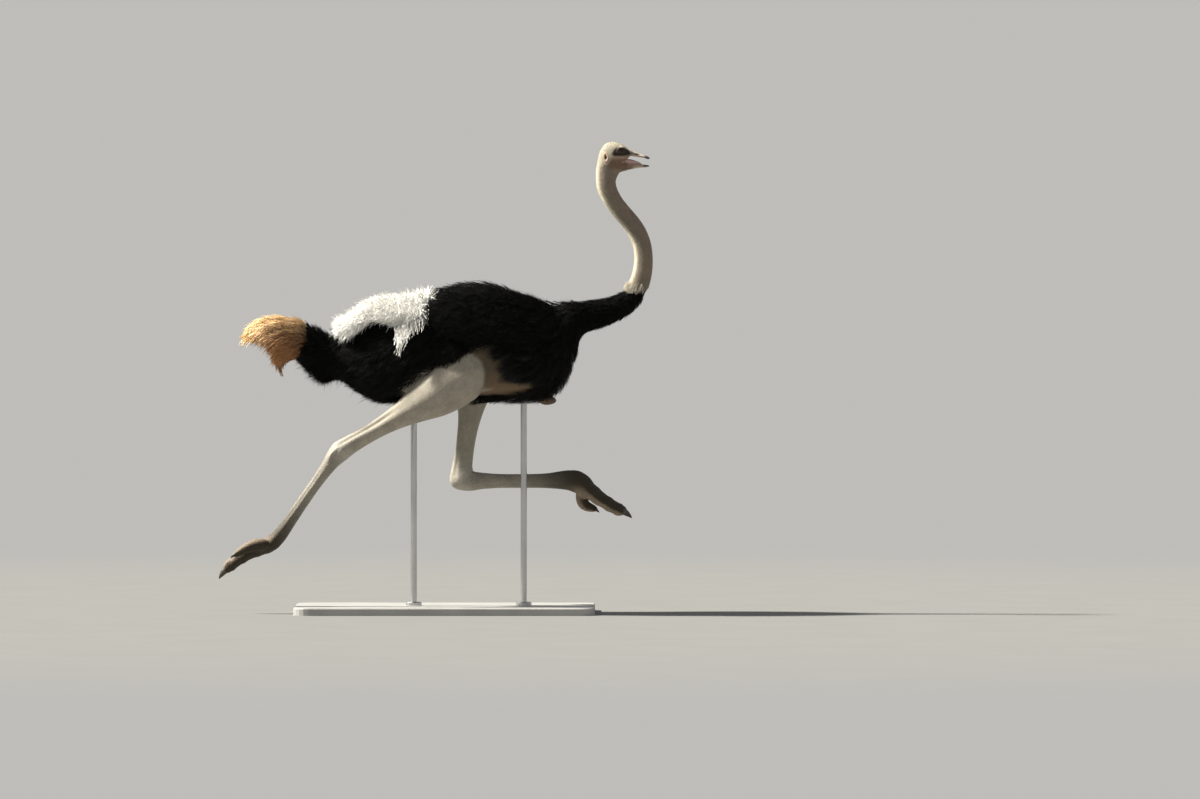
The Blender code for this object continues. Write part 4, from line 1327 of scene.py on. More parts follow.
@dataclass
class Skin:
    """The bird's whole skin: one mesh over trunk, neck, head, legs and feet."""

    body: AxialForm
    head: HeadForm
    legs: list[LegForm]
    wings: list[LeaningForm]
    pad: Rows = ((0.405, 0.0, 0.852), (0.042, 0.036, 0.020))
    black: Colour = (0.0045, 0.0042, 0.004)
    # The bare flank's skin: darker at the top, partly as painted shade under the feathers that overhang it.
    flank: Colour = (0.095, 0.072, 0.044)
    flank_low: Colour = (0.150, 0.100, 0.056)
    neck: Colour = (0.205, 0.170, 0.125)
    # Painted highlight: the back of the neck, which faces the key light, is painted paler.
    nape: Colour = (0.60, 0.55, 0.43)
    throat: Colour = (0.27, 0.185, 0.14)
    # Pale skin of the crown, carried down the back of the head partly as a painted highlight where the key
    # light falls.
    crown: Colour = (0.58, 0.54, 0.42)
    cheek: Colour = (0.185, 0.100, 0.062)
    chin: Colour = (0.15, 0.105, 0.07)
    rosy: Colour = (0.42, 0.285, 0.215)
    edge: Colour = (0.33, 0.27, 0.19)  # of the dark skin round the eye
    lids: Colour = (0.028, 0.018, 0.012)
    ear: Colour = (0.50, 0.315, 0.215)
    # The dark of the ear opening is painted shade, laid on a shallow dent.
    ear_hole: Colour = (0.05, 0.035, 0.025)
    mouth: Colour = (0.50, 0.32, 0.28)
    thigh: Colour = (0.340, 0.308, 0.248)
    shin: Colour = (0.355, 0.325, 0.266)
    # Pale skin over the hock, partly a painted highlight where the joint catches the light.
    bone: Colour = (0.50, 0.47, 0.40)
    foot: Colour = (0.050, 0.038, 0.020)
    sole: Colour = (0.33, 0.25, 0.18)
    callus: Colour = (0.15, 0.095, 0.055)

    def head_block(self) -> Shell:
        """Neck, head, jaws, lids and brows, fused and marked with the ear and wrinkles."""
        body, head = self.body, self.head
        first, skull = int(body.row_on_neck(0.150)), body.first_head * body.fine
        crown = body.tube.centre[:, 0] + body.tube.up[:, 0]
        last = int(np.searchsorted(crown[skull:], head.bill_cut)) + skull
        rings = body.skin.points[first : last + 1]
        amount = 0.55 * ramp(0.722, 0.742, body.tube.centre[first : last + 1, 0])
        amount = amount * (np.arange(len(rings)) > len(rings) // 2)
        face = drawn_in(head.hollowed(rings, True, amount), 0.010, 0.0028)
        shells = [capped(face), capped(drawn_in(head.jaw_rings(0, 2.75, 36, 48), 0.009, 0.0024))]
        for side in Side:
            shells += [head.lids(side), *head.swellings(side), head.gape(side)]
        block = remeshed(shells, head.voxel)
        normals = block.normals()
        return Shell(block.vertices + normals * head.marks(block.vertices, normals)[:, None], block.triangles)

    def assemble(self) -> tuple[Shell, Array]:
        """Unites all forms and smooths the skin where they meet.

        Returns:
            The skin, and the source of each vertex.
        """
        right, left = self.legs
        end = int(self.body.row_on_neck(0.19)) + 1
        shells = [(capped(self.body.skin.points[:end:3]), Source.TRUNK)]
        for wing in self.wings:
            shells += [(capped(wing.hide.sunk(WING_COAT).points[8:-4:3, ::2]), Source.TRUNK)]
        shells += [(self.head_block(), Source.HEAD)]
        shells += [(capped(leg.thigh_rings()), Source.TRUNK) for leg in self.legs]
        shells += [(capped(right.dressed.points), Source.LEG_RIGHT)]
        shells += [(capped(left.dressed.points), Source.LEG_LEFT)]
        shells += [(right.small_toe()[0], Source.TOE_RIGHT), (left.small_toe()[0], Source.TOE_LEFT)]
        skin, source = united([*shells, (ball(*self.pad), Source.PAD)])
        corner = np.repeat(source, 3)
        low, high = np.full(len(skin.vertices), 99), np.full(len(skin.vertices), -1)
        np.minimum.at(low, skin.triangles.ravel(), corner)
        np.maximum.at(high, skin.triangles.ravel(), corner)
        wide = (low == Source.TRUNK.value) & (high > Source.HEAD.value)
        narrow = (low != high) & ~wide
        fillet = np.maximum(skin.near_seam(wide, 0.060), skin.near_seam(narrow, 0.008))
        return skin.relaxed(0.6 * fillet, 30), low

    def paint_legs(self, paint: Paint, normals: Array, source: Array) -> Array:
        """Paints both legs: pale thighs, greyer shins, dark scaly feet with paler soles.

        Args:
            paint: The skin's colours.
            normals: Its normals.
            source: The source of each vertex.

        Returns:
            How scaly each vertex is.
        """
        x, y, z = paint.points.T
        scaly = np.zeros(len(x))
        for leg, own in zip(self.legs, ((2, 4), (3, 5))):
            mine = np.isin(source, own)
            place = leg.places[::3][nearest(paint.points, leg.tube.centre[::3])]
            place = np.where(mine, place, 0.0)
            joined_on = (source == Source.TRUNK.value) & (y * leg.side > 0.10)
            inside = ramp(-0.009, 0.009, within(x, z, THIGHS[leg.side]))
            on_leg = np.where(z > 0.80, (mine | joined_on) * inside, mine)
            toe = unit(np.array(leg.toe_tip) - np.array(leg.foot))
            under = ramp(0.10, 0.70, normals @ np.array([toe[2], 0.0, -toe[0]]))
            paint.lay(
                (self.thigh, on_leg),
                (self.shin, on_leg * ramp(0.7, 1.15, place)),
                # The hock is painted paler: partly pale skin, partly a painted highlight.
                (self.bone, on_leg * bump(1.0, 0.085, place) * 0.75),
                (self.foot, on_leg * ramp(1.40, 2.02, place)),
                (self.sole, on_leg * ramp(1.85, 2.1, place) * under * 0.85),
            )
            scaly = np.maximum(scaly, on_leg * ramp(0.75, 1.15, place))
        return scaly

    def under_black(self, points: Array) -> Array:
        """How far each point of the neck lies on the black side of the collar line."""
        body = self.body
        first, last = int(body.row_on_neck(0.12)), int(body.row_on_neck(0.30))
        centre, up = body.tube.centre[first:last], unit(body.tube.up[first:last])
        near = nearest(points, centre)
        nape = (unit(points - centre[near]) * up[near]).sum(1)
        start, further = body.collar
        line = start + further * (1 - nape) / 2
        return ramp(0.004, -0.004, body.place_of_row(first + near) - line) * ramp(1.50, 1.45, points[:, 2])

    def paint_head(self, paint: Paint, normals: Array, own: Array) -> None:
        """Paints neck and head: greyish neck, pale crown, dark lids, dark lore and pink mouth.

        Args:
            paint: The skin's colours.
            normals: Its normals.
            own: 1 for what is head or neck, 0 elsewhere.
        """
        x, y, z = paint.points.T
        ahead, out, up = normals.T
        head = self.head
        sideways, beside = ramp(0.2, 0.6, np.abs(out)), ramp(0.010, 0.018, np.abs(y))
        low = ramp(1.838, 1.815, z - 0.12 * (x - 0.70)) * ramp(1.765, 1.785, z) * ramp(0.640, 0.668, x)
        rosy = bump(1.8215, 0.0065, z) * ramp(0.652, 0.664, x) * ramp(0.742, 0.728, x)
        inward = within(x, z, head.mask)
        dark = ramp(-0.0035, 0.0035, inward) * beside
        off = np.hypot((x - head.ear[0]) / head.ear_half[0], (z - head.ear[1]) / head.ear_half[1])
        inside = ramp(0.704, 0.716, x) * ramp(1.797, 1.801, z) * ramp(1.8225, 1.8185, z)
        facing = ramp(0.15, 0.5, np.abs(up)) + ramp(0.025, 0.019, np.abs(y))
        paint.lay(
            (self.neck, own),
            # Painted highlight: the back of the neck, facing the key light, is painted paler.
            (self.nape, own * ramp(0.45, 0.92, -ahead - 0.25 * up)),
            (self.black, own * self.under_black(paint.points)),
            (self.throat, own * ramp(-0.3, 0.5, ahead) * 0.5 * ramp(1.80, 1.70, z) * ramp(1.30, 1.36, z)),
            # The crown's pale reaches lower towards the back of the head, partly as a painted highlight.
            (self.crown, own * ramp(1.790, 1.815, z - 0.5 * (x - 0.645))),
            (self.cheek, own * low * sideways * 0.9),
            (self.chin, own * ramp(0.2, -0.5, up) * low * 0.7),
            (self.rosy, own * rosy * sideways * 0.8),
            (self.edge, own * ramp(-0.012, -0.001, inward) * beside * 0.75),
            (self.lids, own * dark * (1 - ramp(0.740, 0.757, x) * 0.3)),
            (self.ear, own * bump(1.6, 0.6, off) * 0.8),
            # Painted shade: the ear opening is painted dark, as the shade inside it.
            (self.ear_hole, own * ramp(0.95, 0.5, off)),
            (self.mouth, own * inside * np.clip(facing, 0, 1)),
        )

    def build(self, finish: Material) -> None:
        """Makes the skin, paints its markings with painted light and shade among them, and says which solids
        it stands for.
        """
        shell, source = self.assemble()
        points, normals = shell.vertices, shell.normals()
        paint = Paint(self.black, points)
        bare = bare_flank(points) * ((source == Source.TRUNK.value) | (source > Source.HEAD.value))
        # The bare flank is painted lighter towards the bottom; its darker top is partly painted shade under
        # the feathers.
        paint.lay((self.flank, bare), (self.flank_low, bare * ramp(1.00, 0.88, points[:, 2])))
        scaly = self.paint_legs(paint, normals, source)
        self.paint_head(paint, normals, (source == Source.HEAD.value).astype(float))
        pad = (source == Source.PAD.value).astype(float)
        paint.lay((self.callus, pad))
        piece = shell.put_in_scene("skin")
        set_colours(piece, "markings", np.maximum(paint.colours, 0.003))
        set_values(piece, "scaly", np.maximum(scaly, pad))
        nodes = ["trunk", "neck_base", "neck_lower", "neck_middle", "neck_upper", "head", "jaw"]
        parts = ("thigh", "drumstick", "tarsus", "big_toe", "small_toe")
        nodes += [f"{part}_{side.label}" for side in Side for part in parts]
        settled(piece, finish, "leg_skin", *nodes, "breast_pad")


@dataclass
class HeadHorn:
    """Bills, tongue and eyes: what the head carries besides skin."""

    body: AxialForm
    head: HeadForm
    horn: Colour = (0.46, 0.35, 0.235)
    ridge: Colour = (0.66, 0.58, 0.44)
    dark: Colour = (0.030, 0.022, 0.015)
    lining: Colour = (0.50, 0.315, 0.27)
    tongue_pink: Colour = (0.56, 0.37, 0.32)

    def dress(
        self, name: str, shell: Shell, paint: Paint, finish: Material, slot: str, node: str
    ) -> None:
        """Puts one horn piece into the scene with its markings."""
        piece = shell.put_in_scene(name)
        set_colours(piece, "markings", np.maximum(paint.colours, 0.002))
        settled(piece, finish, slot, node)

    def rounded(self, rings: Array, reach: float = 0.0045, bury: float = 0.0050) -> Array:
        """A bill's rings with its start sunk under the skin and its tip drawn to a round end."""
        middle = rings.mean(axis=1, keepdims=True)
        x = middle[:, 0, 0]
        end = np.clip((x - x[-1] + reach) / reach, 0, 1)
        half = np.abs(rings[..., 1]).max(axis=1)
        start = bury * ramp(x[0] + 0.017, x[0] + 0.001, x) / half
        return middle + (rings - middle) * (np.sqrt(1 - 0.97 * end**2) - start)[:, None, None]

    def near_skin(self, paint: Paint) -> None:
        """Carries the skin's colours on over the root of the horn."""
        x, y, z = paint.points.T
        root = ramp(0.762, 0.744, x)
        dark = ramp(-0.0035, 0.0035, within(x, z, self.head.mask)) * ramp(0.007, 0.013, np.abs(y))
        paint.lay(
            ((0.44, 0.375, 0.29), root * ramp(1.815, 1.835, z)),
            ((0.22, 0.14, 0.095), root * ramp(1.800, 1.790, z)),
            ((0.040, 0.028, 0.020), dark * 0.85),
        )

    def upper_bill(self, finish: Material) -> None:
        """The upper bill: a ridged horn with slit nostrils, a dark nail and a pink palate."""
        body, head = self.body, self.head
        rows = np.linspace(body.first_head, len(body.rows) - 1, 400)
        crown = upright_tube(body.rows, rows)
        start = np.searchsorted((crown.centre + crown.up)[:, 0], head.bill_cut - 0.020)
        tube = upright_tube(body.rows, np.linspace(rows[start], rows[-1], 120))
        amount = 0.8 * ramp(0.815, 0.79, tube.centre[:, 0])
        surface = Hide(head.hollowed(tube.rings(64), True, amount))
        x, y, z = np.moveaxis(surface.points, -1, 0)
        across = (x - head.nostril[0]) / head.nostril_half[0]
        high = (z - head.nostril[1] + 0.12 * (x - head.nostril[0])) / head.nostril_half[1]
        off = np.hypot(across, high)
        slit = ramp(1.1, 0.5, off) * ramp(0.006, 0.009, np.abs(y))
        ridge = bump(0, 0.0060, y) * ramp(1.826, 1.832, z + 0.25 * (x - 0.79)) * ramp(0.742, 0.760, x)
        step = 0.0004 * ramp(0.796, 0.803, x) - 0.0004 * bump(0.799, 0.0020, x)
        rings = self.rounded(surface.sunk(-(0.0007 * ridge - 0.0022 * slit + step)).points)
        shell = capped(rings)
        paint, up = Paint(self.horn, shell.vertices), shell.normals()[:, 2]
        x, y, _ = shell.vertices.T
        paint.lay((self.ridge, ramp(0.0, 0.7, up) * 0.9))
        self.near_skin(paint)
        # Painted shade: the nostril slit and the horn just round it are painted dark, as the shade inside the
        # opening.
        around = np.concatenate([ramp(1.9, 0.7, off).ravel(), [0.0, 0.0]]) * (np.abs(y) > 0.006)
        paint.lay(
            (self.dark, around),
            (self.dark, ramp(0.792, 0.802, x) * 0.9),
            (self.lining, ramp(-0.3, -0.75, up) * ramp(0.808, 0.795, x)),
        )
        self.dress("bill_top", shell, paint, finish, "bill_horn", "bill_upper")

    def lower_bill(self, finish: Material) -> None:
        """The lower bill: a shallow trough with a pink floor and a dark nail."""
        shell = capped(self.rounded(self.head.jaw_rings(2.2, 6.0, 110, 64), 0.0035, 0.0040))
        paint, up = Paint(np.array(self.horn) * 0.8, shell.vertices), shell.normals()[:, 2]
        x = shell.vertices[:, 0]
        paint.lay((self.ridge, ramp(-0.2, -0.9, up) * 0.5))
        self.near_skin(paint)
        floor = ramp(0.2, 0.6, up) * ramp(0.806, 0.792, x)
        paint.lay((self.dark, ramp(0.788, 0.800, x) * 0.9), (self.lining, floor))
        self.dress("bill_bottom", shell, paint, finish, "bill_horn", "bill_lower")

    def tongue(self, finish: Material) -> None:
        """The short blunt tongue, with a shallow groove down its middle."""
        surface = Hide(upright_tube(self.head.tongue, np.linspace(0, 4, 40), 2.3).rings(40))
        off = np.abs((surface.turns()[None] + 0.5) % 1 - 0.5)
        shell = capped(self.rounded(surface.sunk(0.0012 * bump(0, 0.05, off)).points, 0.012, 0.0))
        paint = Paint(self.tongue_pink, shell.vertices)
        self.dress("tongue_soft", shell, paint, finish, "mouth", "tongue")

    def eyeball(self, side: Side, finish: Material) -> None:
        """One eyeball with a swollen cornea, its rings of colour kept in the gaze attribute."""
        slope = np.linspace(0.01, math.pi - 0.01, 60)[:, None]
        turn = (np.arange(64) * TURN / 64)[None]
        radius = self.head.eye_radius * (1 + 0.035 * ramp(0.55, 0.0, slope)) * np.ones_like(turn)
        piece = capped(self.head.on_eye(side, slope + 0 * turn, turn + 0 * slope, radius)).put_in_scene(
            "eyeball_" + side.label
        )
        set_values(piece, "gaze", np.concatenate([np.repeat(slope[:, 0] / math.pi, 64), [0.0, 1.0]]))
        settled(piece, finish, "eye", "eye_" + side.label)


def build_claws(leg: LegForm, finish: Material) -> None:
    """Makes a leg's claw and nail, paler towards the root and streaked with growth."""
    for node, shell in leg.claws().items():
        share = np.concatenate([np.linspace(0, 1, 22).repeat(28), [0.0, 1.0]])
        paint = Paint((0.040, 0.032, 0.024), shell.vertices)
        paint.lay(((0.095, 0.075, 0.052), 1 - share))
        piece = shell.put_in_scene("horn_" + node)
        set_colours(piece, "markings", paint.colours)
        settled(piece, finish, "claw_horn", node)


# Feathers


@dataclass
class Feathers:
    """Many feathers as one mesh, with what each vertex knows.

    tuft holds, for each vertex, how far along the feather it is, the feather's tone and the
    barb's own tone. patch places the vertex within its feather's patch of the baking map.
    """

    shell: Shell
    tuft: Array
    patch: Array


def ribbons(points: Array, flat: Array, width: Array) -> Array:
    """Ribbons along rows of points: pairs of edge points that taper to one tip.

    Args:
        points: Rows of points, the last one the tip.
        flat: The way in which each ribbon is wide, at each point.
        width: The width at each point.

    Returns:
        The vertices of each ribbon, two for each point and one for the tip.
    """
    half = (flat * width[..., None] / 2)[..., :-1, :]
    body = points[..., :-1, :]
    pairs = np.stack([body - half, body + half], axis=-2)
    pairs = pairs.reshape(*points.shape[:-2], 2 * body.shape[-2], 3)
    return np.concatenate([pairs, points[..., -1:, :]], axis=-2)


def ribbon_faces(count: int, steps: int) -> Array:
    """The triangles of that many ribbons, each of that many steps."""
    j = 2 * np.arange(steps - 1)
    tip = [[2 * steps - 2, 2 * steps - 1, 2 * steps]]
    faces = np.concatenate([np.stack([j, j + 1, j + 3], 1), np.stack([j, j + 3, j + 2], 1), tip])
    start = np.arange(count)[:, None, None] * (2 * steps + 1)
    return (faces[None] + start).reshape(-1, 3)


def side_by_side(*layers: Array) -> Array:
    """Numbers as the last axis of one table, each stretched to the first one's shape."""
    return np.stack([np.broadcast_to(layer, layers[0].shape) for layer in layers], -1)


@dataclass(frozen=True)
class FeatherMake:
    """How one kind of feather is made: a shaft with loose barbs, each a narrow tapering ribbon."""

    barbs: int = 9  # on each side
    knots: int = 6  # points along the shaft
    steps: int = 3  # lengths of each barb
    first: float = 0.12  # where the barbs start, as a share of the shaft
    reach: float = 0.34  # length of a barb over the feather's
    spread: float = 46.0  # degrees between barb and shaft near the root
    closing: float = 0.55  # how much smaller that angle is at the tip
    bend: float = 0.5  # how far barbs bend towards the tip
    fluff: float = 0.22  # how far barbs stray out of the vane
    sag: float = 0.0  # how far barbs hang down, as a share of their length
    wave: float = 0.0  # how wavy they are
    barb_width: float = 0.0024
    shaft_width: float = 0.0016

    def grow(self, spine: Array, normal: Array, rng: Random, tone: Array | None = None) -> Feathers:
        """Grows feathers on their shafts.

        Each barb starts on the shaft and runs sideways and on: sideways by its reach times the
        sine of its angle, less as it bends over, and forwards by the rest. It strays out of the
        vane by its fluff times the share of its length to the power 1.5.

        Args:
            spine: For each feather, points along its shaft.
            normal: The outward direction at each of those points.
            rng: The random draws.
            tone: Each feather's tone from 0 to 1, or None to draw it.

        Returns:
            The feathers.
        """
        count, knots = spine.shape[:2]
        heading = unit(np.gradient(spine, axis=1))
        across = unit(np.cross(heading, normal))
        length = np.linalg.norm(np.diff(spine, axis=1), axis=2).sum(1)
        barbs = 2 * self.barbs
        side = np.repeat((-1.0, 1.0), self.barbs)[None]
        place = np.tile(np.linspace(self.first, 0.97, self.barbs), 2)[None]
        place = place + rng.uniform(-0.45, 0.45, (count, barbs)) * (1 - self.first) / self.barbs
        place = np.clip(place, 0.02, 0.995)
        spot = place * (knots - 1)
        near = np.clip(np.floor(spot).astype(int), 0, knots - 2)
        share = (spot - near)[..., None]

        def on_shaft(table: Array) -> Array:
            """A table of the shaft's vectors, read where the barbs start."""
            here, on = (np.take_along_axis(table, k[..., None], axis=1) for k in (near, near + 1))
            return (here * (1 - share) + on * share)[:, :, None]

        base, ahead, beside, out = map(on_shaft, (spine, heading, across, np.cross(across, heading)))
        way = np.linspace(0, 1, self.steps + 1)[None, None]
        full = 0.62 + 0.38 * np.sin(math.pi * np.clip(place * 1.05, 0, 1))
        reach = (length[:, None] * self.reach * full * rng.uniform(0.65, 1.25, (count, barbs)))[..., None]
        angle = np.radians(self.spread) * (1 - self.closing * place)
        angle = (angle + rng.normal(0, 0.16, (count, barbs)))[..., None]
        sideways = side[..., None] * reach * np.sin(angle) * (way - self.bend * way**2 / 2)
        onward = reach * (np.cos(angle) * way + np.sin(angle) * self.bend * way**2 / 2)
        stand = reach * (rng.normal(0, 1, (count, barbs, 1)) * self.fluff) * way**1.5
        phase = rng.uniform(0, TURN, (count, barbs, 1))
        curl = reach * self.wave * (np.sin(way * 5.5 + phase) - np.sin(phase)) * way
        points = base + (sideways + curl)[..., None] * beside + onward[..., None] * ahead
        points = points + (stand + curl * 0.7)[..., None] * out
        points[..., 2] -= reach * self.sag * way**2
        along = unit(np.gradient(points, axis=2))
        flat = unit(np.cross(along, out))
        twist = rng.normal(0, 0.5, (count, barbs, 1, 1))
        flat = flat * np.cos(twist) + np.cross(flat, along) * np.sin(twist)
        width = self.barb_width * (1 - way**2.2) * rng.uniform(0.7, 1.3, (count, barbs, 1))
        shaft_width = self.shaft_width * (1 - 0.75 * np.linspace(0, 1, knots))
        shafts = ribbons(spine, across, np.broadcast_to(shaft_width, (count, knots)))

        per_barb, per_shaft = 2 * self.steps + 1, 2 * knots - 1
        barb_way = np.minimum(np.arange(per_barb) // 2 / self.steps, 1.0)
        barb_along = place[..., None] + (1 - place[..., None]) * 0.6 * barb_way
        shaft_along = np.minimum(np.arange(per_shaft) // 2 / (knots - 1), 1) + np.zeros((count, 1))
        tone = rng.random(count) if tone is None else tone
        barb_tone = rng.random((count, barbs))
        tufts = (
            side_by_side(barb_along, tone[:, None, None], barb_tone[..., None]),
            side_by_side(shaft_along, tone[:, None], np.array(0.5)),
        )
        patches = (
            side_by_side(barb_along - 0.5, side[..., None] * 0.45 * barb_way),
            side_by_side(shaft_along - 0.5, np.array(0.0)),
        )
        barb_faces = ribbon_faces(count * barbs, self.steps)
        shaft_faces = ribbon_faces(count, knots - 1) + count * barbs * per_barb
        vertices = [ribbons(points, flat, width).reshape(-1, 3), shafts.reshape(-1, 3)]
        return Feathers(
            Shell(np.concatenate(vertices), np.concatenate([barb_faces, shaft_faces])),
            np.concatenate([tuft.reshape(-1, 3) for tuft in tufts]),
            np.concatenate([patch.reshape(-1, 2) for patch in patches]),
        )

    def owners(self, count: int, knots: int) -> Array:
        """The number of the feather that each vertex belongs to."""
        barbs = np.arange(count).repeat(2 * self.barbs * (2 * self.steps + 1))
        return np.concatenate([barbs, np.arange(count).repeat(2 * knots - 1)])


@dataclass
class Growth:
    """Where a batch of feathers grows and how each lies: one entry per feather.

    row and turn place its root on the hide, lean is the angle from along the hide to round it,
    length is the feather's, lift is how far its tip stands over the skin, and tone runs from 0
    to 1 and is drawn if it is None.
    """

    row: Array
    turn: Array
    lean: Array
    length: Array
    lift: Array
    tone: Array | None = None


@dataclass
class Coat:
    """One piece of plumage: feathers of one make that walk over a hide."""

    name: str
    hide: Hide
    make: FeatherMake
    finish: Material
    slot: str  # a name for the material's slot
    seed: int
    nodes: tuple[str, ...] = ()  # solids that the piece stands for
    onward: int = -1  # 1 if feathers point to rising rows, -1 if to falling ones
    root_depth: float = 0.002
    curve: float = 1.3  # power by which a feather rises from the skin
    most: int | None = None  # feathers at most
    droop: float = 0.0  # how fast feathers sink once they are past the hide's end
    allowed: Callable[[Array], Array] | None = None  # which shafts may stay

    def spines(self, growth: Growth) -> tuple[Array, Array]:
        """Lays the shafts over the hide.

        A shaft goes on by equal steps in its own direction over the surface, and past the end of
        the hide it goes straight on, sinking by the droop.

        Args:
            growth: Where the feathers grow and how they lie.

        Returns:
            Points along every shaft and the outward directions there.
        """
        hide, knots = self.hide, self.make.knots
        row, turn = growth.row.astype(float).copy(), growth.turn.copy()
        step = growth.length / (knots - 1)
        ground, normals = [], []
        for _ in range(knots):
            inside = np.clip(row, 0, hide.rows - 1)
            point = hide.read(hide.points, inside, turn)
            normal = unit(hide.read(hide.normal, inside, turn))
            past = (row < 0) | (row > hide.rows - 1)
            if len(ground) > 1:
                way = unit(ground[-1] - ground[-2])
                way[:, 2] -= self.droop
                point = np.where(past[:, None], ground[-1] + unit(way) * step[:, None], point)
                normal = np.where(past[:, None], normals[-1], normal)
            ground.append(point)
            normals.append(normal)
            along, around = (
                np.linalg.norm(hide.read(table, inside, turn), axis=1)
                for table in (hide.along, hide.around)
            )
            row += self.onward * np.cos(growth.lean) * step / np.maximum(along, 1e-4)
            turn += np.sin(growth.lean) * step / np.maximum(around, 0.05)
        ground, normals = np.stack(ground, 1), np.stack(normals, 1)
        way = np.linspace(0, 1, knots)[None]
        rise = growth.lift[:, None] * way**self.curve - self.root_depth * (1 - way)
        return ground + normals * rise[..., None], normals

    def build(self, growth: Growth) -> None:
        """Grows the feathers that may stay and puts the coat into the scene."""
        spine, normal = self.spines(growth)
        stays = self.allowed(spine) if self.allowed else np.ones(len(spine), bool)
        kept = np.flatnonzero(stays)[: self.most]
        tone = None if growth.tone is None else growth.tone[kept]
        self.from_spines(spine[kept], normal[kept], growth.row[kept], growth.turn[kept], tone)

    def from_spines(
        self, spine: Array, normal: Array, row: Array, turn: Array, tone: Array | None = None
    ) -> None:
        """Grows feathers on given shafts, and lays each one's patch at its root in the map."""
        made = self.make.grow(spine, normal, np.random.default_rng(self.seed), tone)
        piece = made.shell.put_in_scene(self.name)
        set_colours(piece, "tuft", made.tuft)
        place = np.stack([np.clip(row / (self.hide.rows - 1), 0, 1), turn % 1], 1) * 0.96 + 0.02
        place = place[self.make.owners(len(row), spine.shape[1])]
        layer = piece.data.uv_layers.new(name="OFBake")
        where = (place + made.patch * PATCH)[made.shell.triangles.ravel()]
        layer.data.foreach_set("uv", where.astype(np.float32).ravel())
        settled(piece, self.finish, self.slot, *self.nodes)


def sown(
    hide: Hide, count: int, seed: int, low: float, high: float, keep: Callable | None = None
) -> tuple[Array, Array, Array, Random]:
    """Root places over part of a hide.

    Args:
        hide: The skin.
        count: How many places to draw before some are left out.
        seed: Seed of the random draws.
        low: First row.
        high: Last row.
        keep: Says of points, rows and turns which to keep, or None to keep all.

    Returns:
        Rows, turns and points of the kept places, and the random draws to go on with.
    """
    rng = np.random.default_rng(seed)
    row, turn = hide.scatter(count, rng, low, high)
    points = hide.read(hide.points, row, turn)
    kept = keep(points, row, turn) if keep else np.ones(len(row), bool)
    return row[kept], turn[kept], points[kept], rng


# Plumage of this bird


